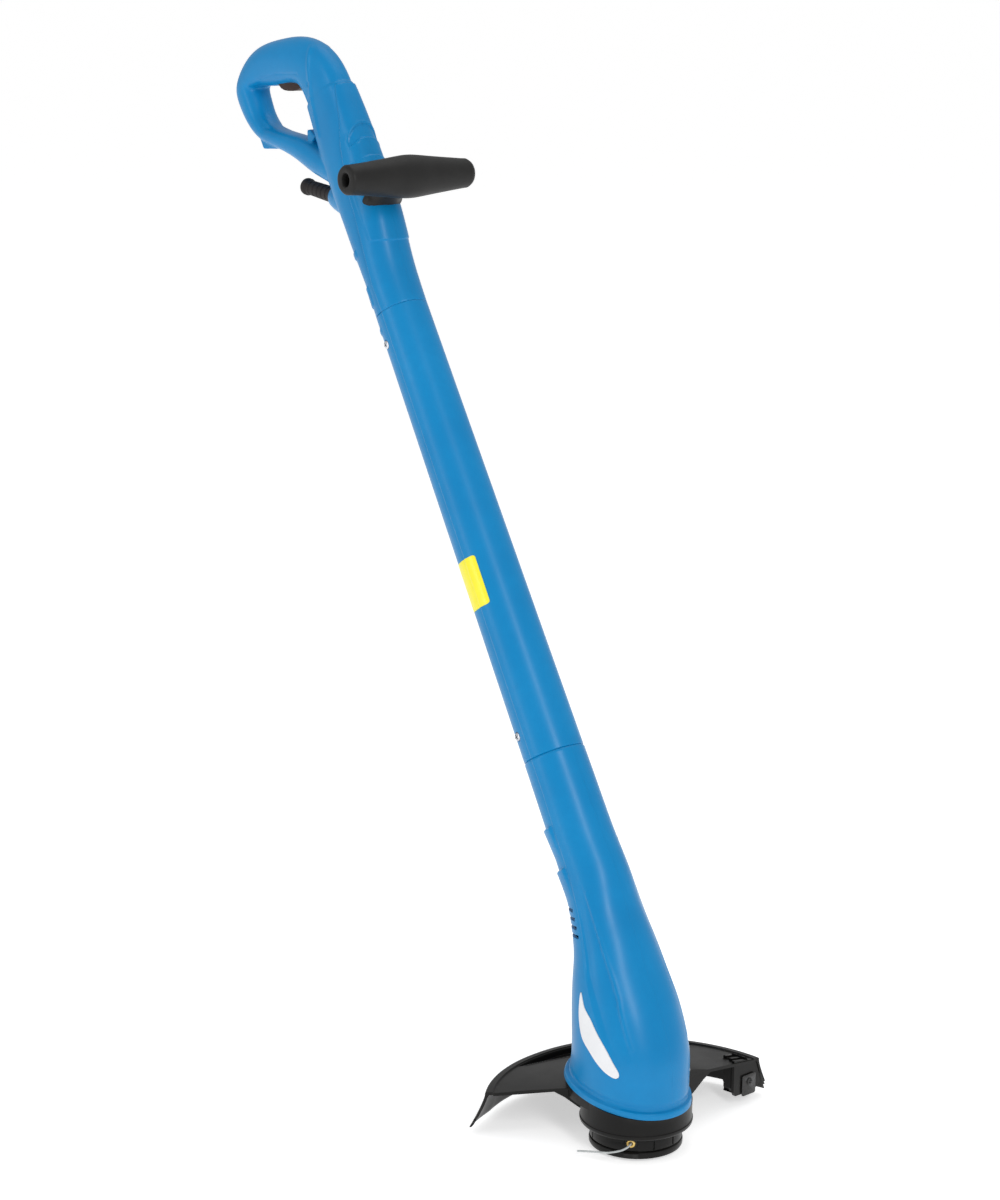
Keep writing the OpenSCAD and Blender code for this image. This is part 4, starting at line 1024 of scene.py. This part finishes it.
def guard():
    angles = np.r_[G_A0, G_A0 + 0.2, np.linspace(G_A0 + 0.8, G_A1 - 0.8, 300), G_A1 - 0.2, G_A1]
    secs = []
    r_top = np.r_[np.linspace(38, 122.5, 80), np.linspace(122.9, 127, 22), np.linspace(127.6, 130.6, 6)]
    for a in angles:
        shift = np.interp(a, [4, 60, 95, 136], [0.8, 0.8, -1.8, -1.8])
        flare = FLARE + 6.5 * (1 - smoothstep(a, 4, 17)) + 6.5 * smoothstep(a, 118, 136)
        top = np.stack([r_top, plate_top(r_top, a)], 1)
        zt = plate_top(np.array([130.6]), a)[0]
        edge = np.array([[131.3, zt - 0.15], [131.8, zt - 0.6], [132.05, zt - 1.3]])
        z = np.linspace(zt - 2.4, 5.6, 24)
        wall = np.stack([132.1 + flare * ((zt - 2.4 - z) / (zt - 2.4 - 5)) ** 1.25, z], 1)
        foot = np.array([[138.4, 5.05], [137.6, 4.95], [136.6, 5.3]]) + [flare - FLARE, 0]
        wall_in = np.stack([wall[::-1, 0] - 2.3, np.maximum(wall[::-1, 1], 6.2)], 1)[1:-2]
        rb = r_top[r_top < 129.4][::-1]
        low = np.stack([rb, plate_top(rb, a) - 2.5], 1)
        sec = np.concatenate([top, edge, wall, foot, wall_in, low])
        sec[:, 0] += shift * smoothstep(sec[:, 0], 60, 120)
        if a in (G_A0, G_A1):
            c = sec.mean(0)
            step = sec - c
            sec = c + step * (1 - 0.25 / np.maximum(np.linalg.norm(step, axis=1), 6))[:, None]
        secs.append(sec)
    body = polar("guard", secs, angles)
    web_rz = rounded([(36, 43), (78, 42), (66, 36), (56, 29), (47, 23.5), (42, 22.6), (36, 22.6)],
                     [0, 4, 8, 8, 6, 2, 0], 5)
    web_a = np.linspace(G_A0 + 0.3, G_A1 - 0.3, 90)
    web = polar("web", [web_rz] * len(web_a), web_a)
    collar = lathe("collar", [(30, 20.5), (43.2, 20.5), (44.5, 20.9), (45.2, 21.8), (45.5, 23.2), (45.5, 24.4),
                              (44.9, 25), (44.7, 27), (44.9, 40), (45.3, 58), (30, 58)], 160)
    a = np.linspace(0, 2 * np.pi, 160, endpoint=False)
    oval = prism("oval", np.stack([44.7 * np.cos(a), 11 + 56.3 * np.sin(a)], 1), 37.5, 60)
    boolean(oval, block("front", (-90, -90, 0), (90, -2, 90)))
    boolean(body, [web, collar, oval], "UNION")
    # the bracket that holds the line cutter, at the right-hand end
    ribs = []
    for a0, a1, r0, r1, z0 in ((4.3, 5.9, 103, 133, 9.5), (7.6, 8.9, 106, 132, 11), (11.4, 12.8, 108, 131, 15),
                               (4.6, 12.4, 108, 110.6, 10), (4.6, 12.4, 119, 121.4, 8.4)):
        sec = rounded([(r0, 41.5 - 0.03 * r0 + 3), (r1 - 1, 36), (r1, 33), (r1 + 0.1 * (33 - z0), z0 + 3),
                       (r1 - 3, z0), (r0 + 2, z0 + 0.5), (r0, z0 + 4)], 0.8, 3)
        ribs.append(polar("rib", [sec] * 6, np.linspace(a0, a1, 6)))
    boolean(body, ribs, "UNION")
    boolean(body, above_flange("sky"))
    boolean(body, lathe("well", [(0, 10), (41, 10), (41, 90), (0, 90)], 120))
    for x in GUARD_SCREWS:
        m = move(x, 42, 0)
        boolean(body, lathe("hole", [(0, 12), (3.7, 12), (3.7, 33.1), (1.7, 33.1), (1.7, 62), (0, 62)], 40, m))
    # steps along the skirt's two ends
    cuts = []
    for a0, a1, z0, z1 in ((3.0, 4.9, -5, 14), (3.0, 5.8, -5, 10), (134.6, 137.0, -5, 8.0), (135.3, 137, -5, 14)):
        sec = np.array([(124, z0), (152, z0), (152, z1), (124, z1)], float)
        cuts.append(polar("cut", [sec] * 4, np.linspace(a0, a1, 4)))
    boolean(body, cuts)
    end = move(GX, GY, 0) @ rot(G_A0, "Z")
    hole = end @ move(120, 0, 20) @ rot(90)
    boolean(body, lathe("hole", [(0, -6), (1.7, -6), (1.7, 3), (0, 3)], 32, hole))
    finish_piece(body, "black_plastic", node="guard", angle=30)
    # line cutter and its screw
    cutter = end @ move(120, 0, 18)
    blade = prism("line_cutter_edge", rounded([(-8, -9), (-6.6, -10), (6.6, -10), (8, -9), (8, 7), (6.8, 8), (-6.8, 8),
                                               (-8, 7)], 0.4), 0.02, 1.0, cutter @ rot(90), bevel=0.25)
    boolean(blade, lathe("hole", [(0, -3), (1.75, -3), (1.75, 3), (0, 3)], 32,
                         cutter @ move(0, 0, 2) @ rot(90)))
    finish_piece(blade, "blade_steel", node="line_cutter_blade")
    sc = screw("line_cutter_screw", cutter @ move(0, -1.04, 2) @ rot(90), 2.9, 1.7, 1.55, 6.0)
    finish_piece(sc, "blade_steel", node="cutter_screw")
    heads = [screw("screw", move(x, 42, 33) @ rot(180), 3.2, 2.1, 1.55, 21) for x in GUARD_SCREWS]
    finish_piece(join("guard_screw_pair", heads), "screw_steel", node="guard_screws")


guard()


# ---- spool
EYE_A = 270 - EYE_TURN
EYE = rot(EYE_A, "Z") @ move(35.2, 0, 16) @ rot(90, "Y")


def polar_box(r0, r1, z0, z1, a0, a1, steps=6):
    """A box bent round the spin axis, from angle a0 to a1."""
    v = [(r * math.cos(a), r * math.sin(a), z) for a in np.radians(np.linspace(a0, a1, steps))
         for r, z in ((r0, z0), (r1, z0), (r1, z1), (r0, z1))]
    return closed_mesh("sector", v, grid_faces(steps, 4))


def spool():
    wall = [(9, 31.5), (35.4, 31.5), (36.3, 31.2), (36.8, 30.4), (36.8, 19.6), (36.3, 19.2), (36.3, 18.2), (36.9, 17.8),
            (37.2, 17), (37.2, 9.4), (36.9, 8.6), (36.2, 8.06), (35.25, 8.06), (35.1, 8.6), (35.1, 29.2), (8, 29.2),
            (8, 15), (2.56, 15), (2.56, 40), (8.4, 40), (9, 39.4)]
    ob = lathe("spool_drum", wall, 160, fine=3.0)
    boss = lathe("boss", [(0, -1), (5.6, -1), (5.6, 1.6), (5.1, 2.6), (4.2, 2.9), (0, 2.9)], 48, EYE)
    boolean(boss, lathe("inner", [(0, 5), (35.1, 5), (35.1, 29.2), (0, 29.2)], 120))
    boolean(ob, boss, "UNION")
    boolean(ob, polar_box(36.0, 38.6, 21.4, 22.8, EYE_A - 9.5, EYE_A + 9.5), "UNION")
    grips = [polar_box(36.35, 39, 9.6, 16.6, k * 30 + 10, k * 30 + 12.4) for k in range(12) if k not in (6, 7)]
    boolean(ob, grips)
    boolean(ob, lathe("hole", [(0, -5), (2.05, -5), (2.05, 8), (0, 8)], 40, EYE))
    finish_piece(ob, "black_plastic", "spinner", node="spool_housing", angle=32)

    cap = lathe("spool_cap_dish", [(20.5, 1.8), (24, 1.8), (24.4, 2.5), (33.6, 2.5), (34.2, 1.9), (36.2, 1.9),
                                   (37.1, 2.4), (37.6, 3.4), (37.7, 6.4), (37.4, 7.3), (36.6, 7.95), (35, 8),
                                   (34.95, 10.8), (33, 10.8), (33, 3.9), (20.5, 3.9)], 160, fine=3.0)
    cuts = [polar_box(25.5, 32.5, 0, 6, k * 30 + 4, k * 30 + 13) for k in range(12)]
    boolean(cap, cuts)
    tabs = [polar_box(37.0, 38.6, 3.4, 7.0, t - 9, t + 9) for t in (EYE_A - 180, EYE_A)]
    boolean(cap, tabs, "UNION")
    finish_piece(cap, "black_plastic", "spinner", node="spool_cap", angle=32)

    ring = [(1.15, -2.2), (1.9, -2.2), (1.9, 2.75), (3.05, 2.75), (3.45, 3.0), (3.5, 3.5), (3.2, 4.0), (2.5, 4.25),
            (1.8, 4.1), (1.35, 3.6), (1.15, 3.0)]
    eye = lathe("line_eyelet_ring", ring, 72, EYE)
    nicks = []
    for k in range(9):
        m = EYE @ rot(40 * k, "Z")
        nicks.append(block("nick", (2.55, -0.16, 3.72), (4.2, 0.16, 5), m))
    boolean(eye, nicks)
    finish_piece(eye, "brass_ring", "spinner", node="line_eyelet", angle=40)

    button = lathe("bump_button_knob", [(0, 0.5), (4, 0.5), (4.6, 0), (11, 0), (11.8, 0.25), (16, 0.7), (18.6, 1.2),
                                        (19.7, 1.9), (20, 2.8), (20, 4.15), (0, 4.15)], 120, fine=1.5)
    cuts = [polar_box(13, 18.2, -1, 1.35, k * 45, k * 45 + 9) for k in range(8)]
    boolean(button, cuts)
    finish_piece(button, "black_plastic", "bump_feed", node="bump_button", angle=32)


spool()


# ---- pieces carried over from the frame
CARRIED = {"handle_screws": "screw_steel", "trigger_pin": "screw_steel", "trigger_spring": "spring_steel",
           "switch_body": "black_plastic", "switch_plunger": "red_plastic", "cord_clamp": "black_plastic",
           "cord_clamp_screws": "screw_steel", "grip_screw": "screw_steel", "motor_lead": "black_rubber",
           "housing_screws": "screw_steel", "motor_can": "can_steel", "motor_end_cap": "black_plastic",
           "motor_magnets": "ferrite", "carbon_brushes": "carbon", "lower_bearing": "can_steel",
           "upper_bearing": "can_steel", "rectifier_block": "black_plastic", "motor_shaft": "screw_steel",
           "armature_core": "lamination", "armature_windings": "copper_wire", "commutator": "copper_wire",
           "cooling_fan": "black_plastic", "base_plate": "black_plastic", "bobbin": "black_plastic",
           "wound_line": "line_nylon", "bump_spring": "spring_steel"}
for node, material in CARRIED.items():
    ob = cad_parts[node]
    ob.data.materials.clear()
    ob.data.materials.append(MAT[material])


# ---- studio
def studio():
    low = min(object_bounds()[0][2], 0.0)
    bpy.ops.mesh.primitive_plane_add(size=160, location=(0, 40.0, low - 0.0002))
    floor = bpy.context.object
    floor.name = "studio_floor"
    g = Nodes("studio_floor")
    g.bsdf.inputs["Base Color"].default_value = (0.82, 0.82, 0.82, 1)
    g.bsdf.inputs["Emission Color"].default_value = (1, 1, 1, 1)
    g.bsdf.inputs["Emission Strength"].default_value = 0.54
    g.bsdf.inputs["Roughness"].default_value = 0.9
    floor.data.materials.append(g.mat)
    floor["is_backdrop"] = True
    world = bpy.data.worlds.new("studio")
    scene.world = world
    world.use_nodes = True
    bg = world.node_tree.nodes["Background"]
    bg.inputs[0].default_value = (1.0, 1.0, 1.0, 1)
    bg.inputs[1].default_value = 0.55

    target = Vector((0.0, 0.2, 0.4))
    for name, pos, width, height, power in (("key", (-0.9, -2.5, 1.9), 0.6, 1.6, 36),
                                            ("left", (-2.6, 0.9, 1.2), 0.5, 2.2, 13),
                                            ("top", (0.6, 0.4, 3.0), 2.0, 2.0, 14)):
        light = bpy.data.lights.new(name, "AREA")
        light.shape = "RECTANGLE"
        light.size, light.size_y = width, height
        light.energy = power
        ob = add(name, light)
        ob.location = pos
        ob.rotation_euler = (target - Vector(pos)).to_track_quat("-Z", "Y").to_euler()


studio()
scene.view_settings.view_transform = "Standard"
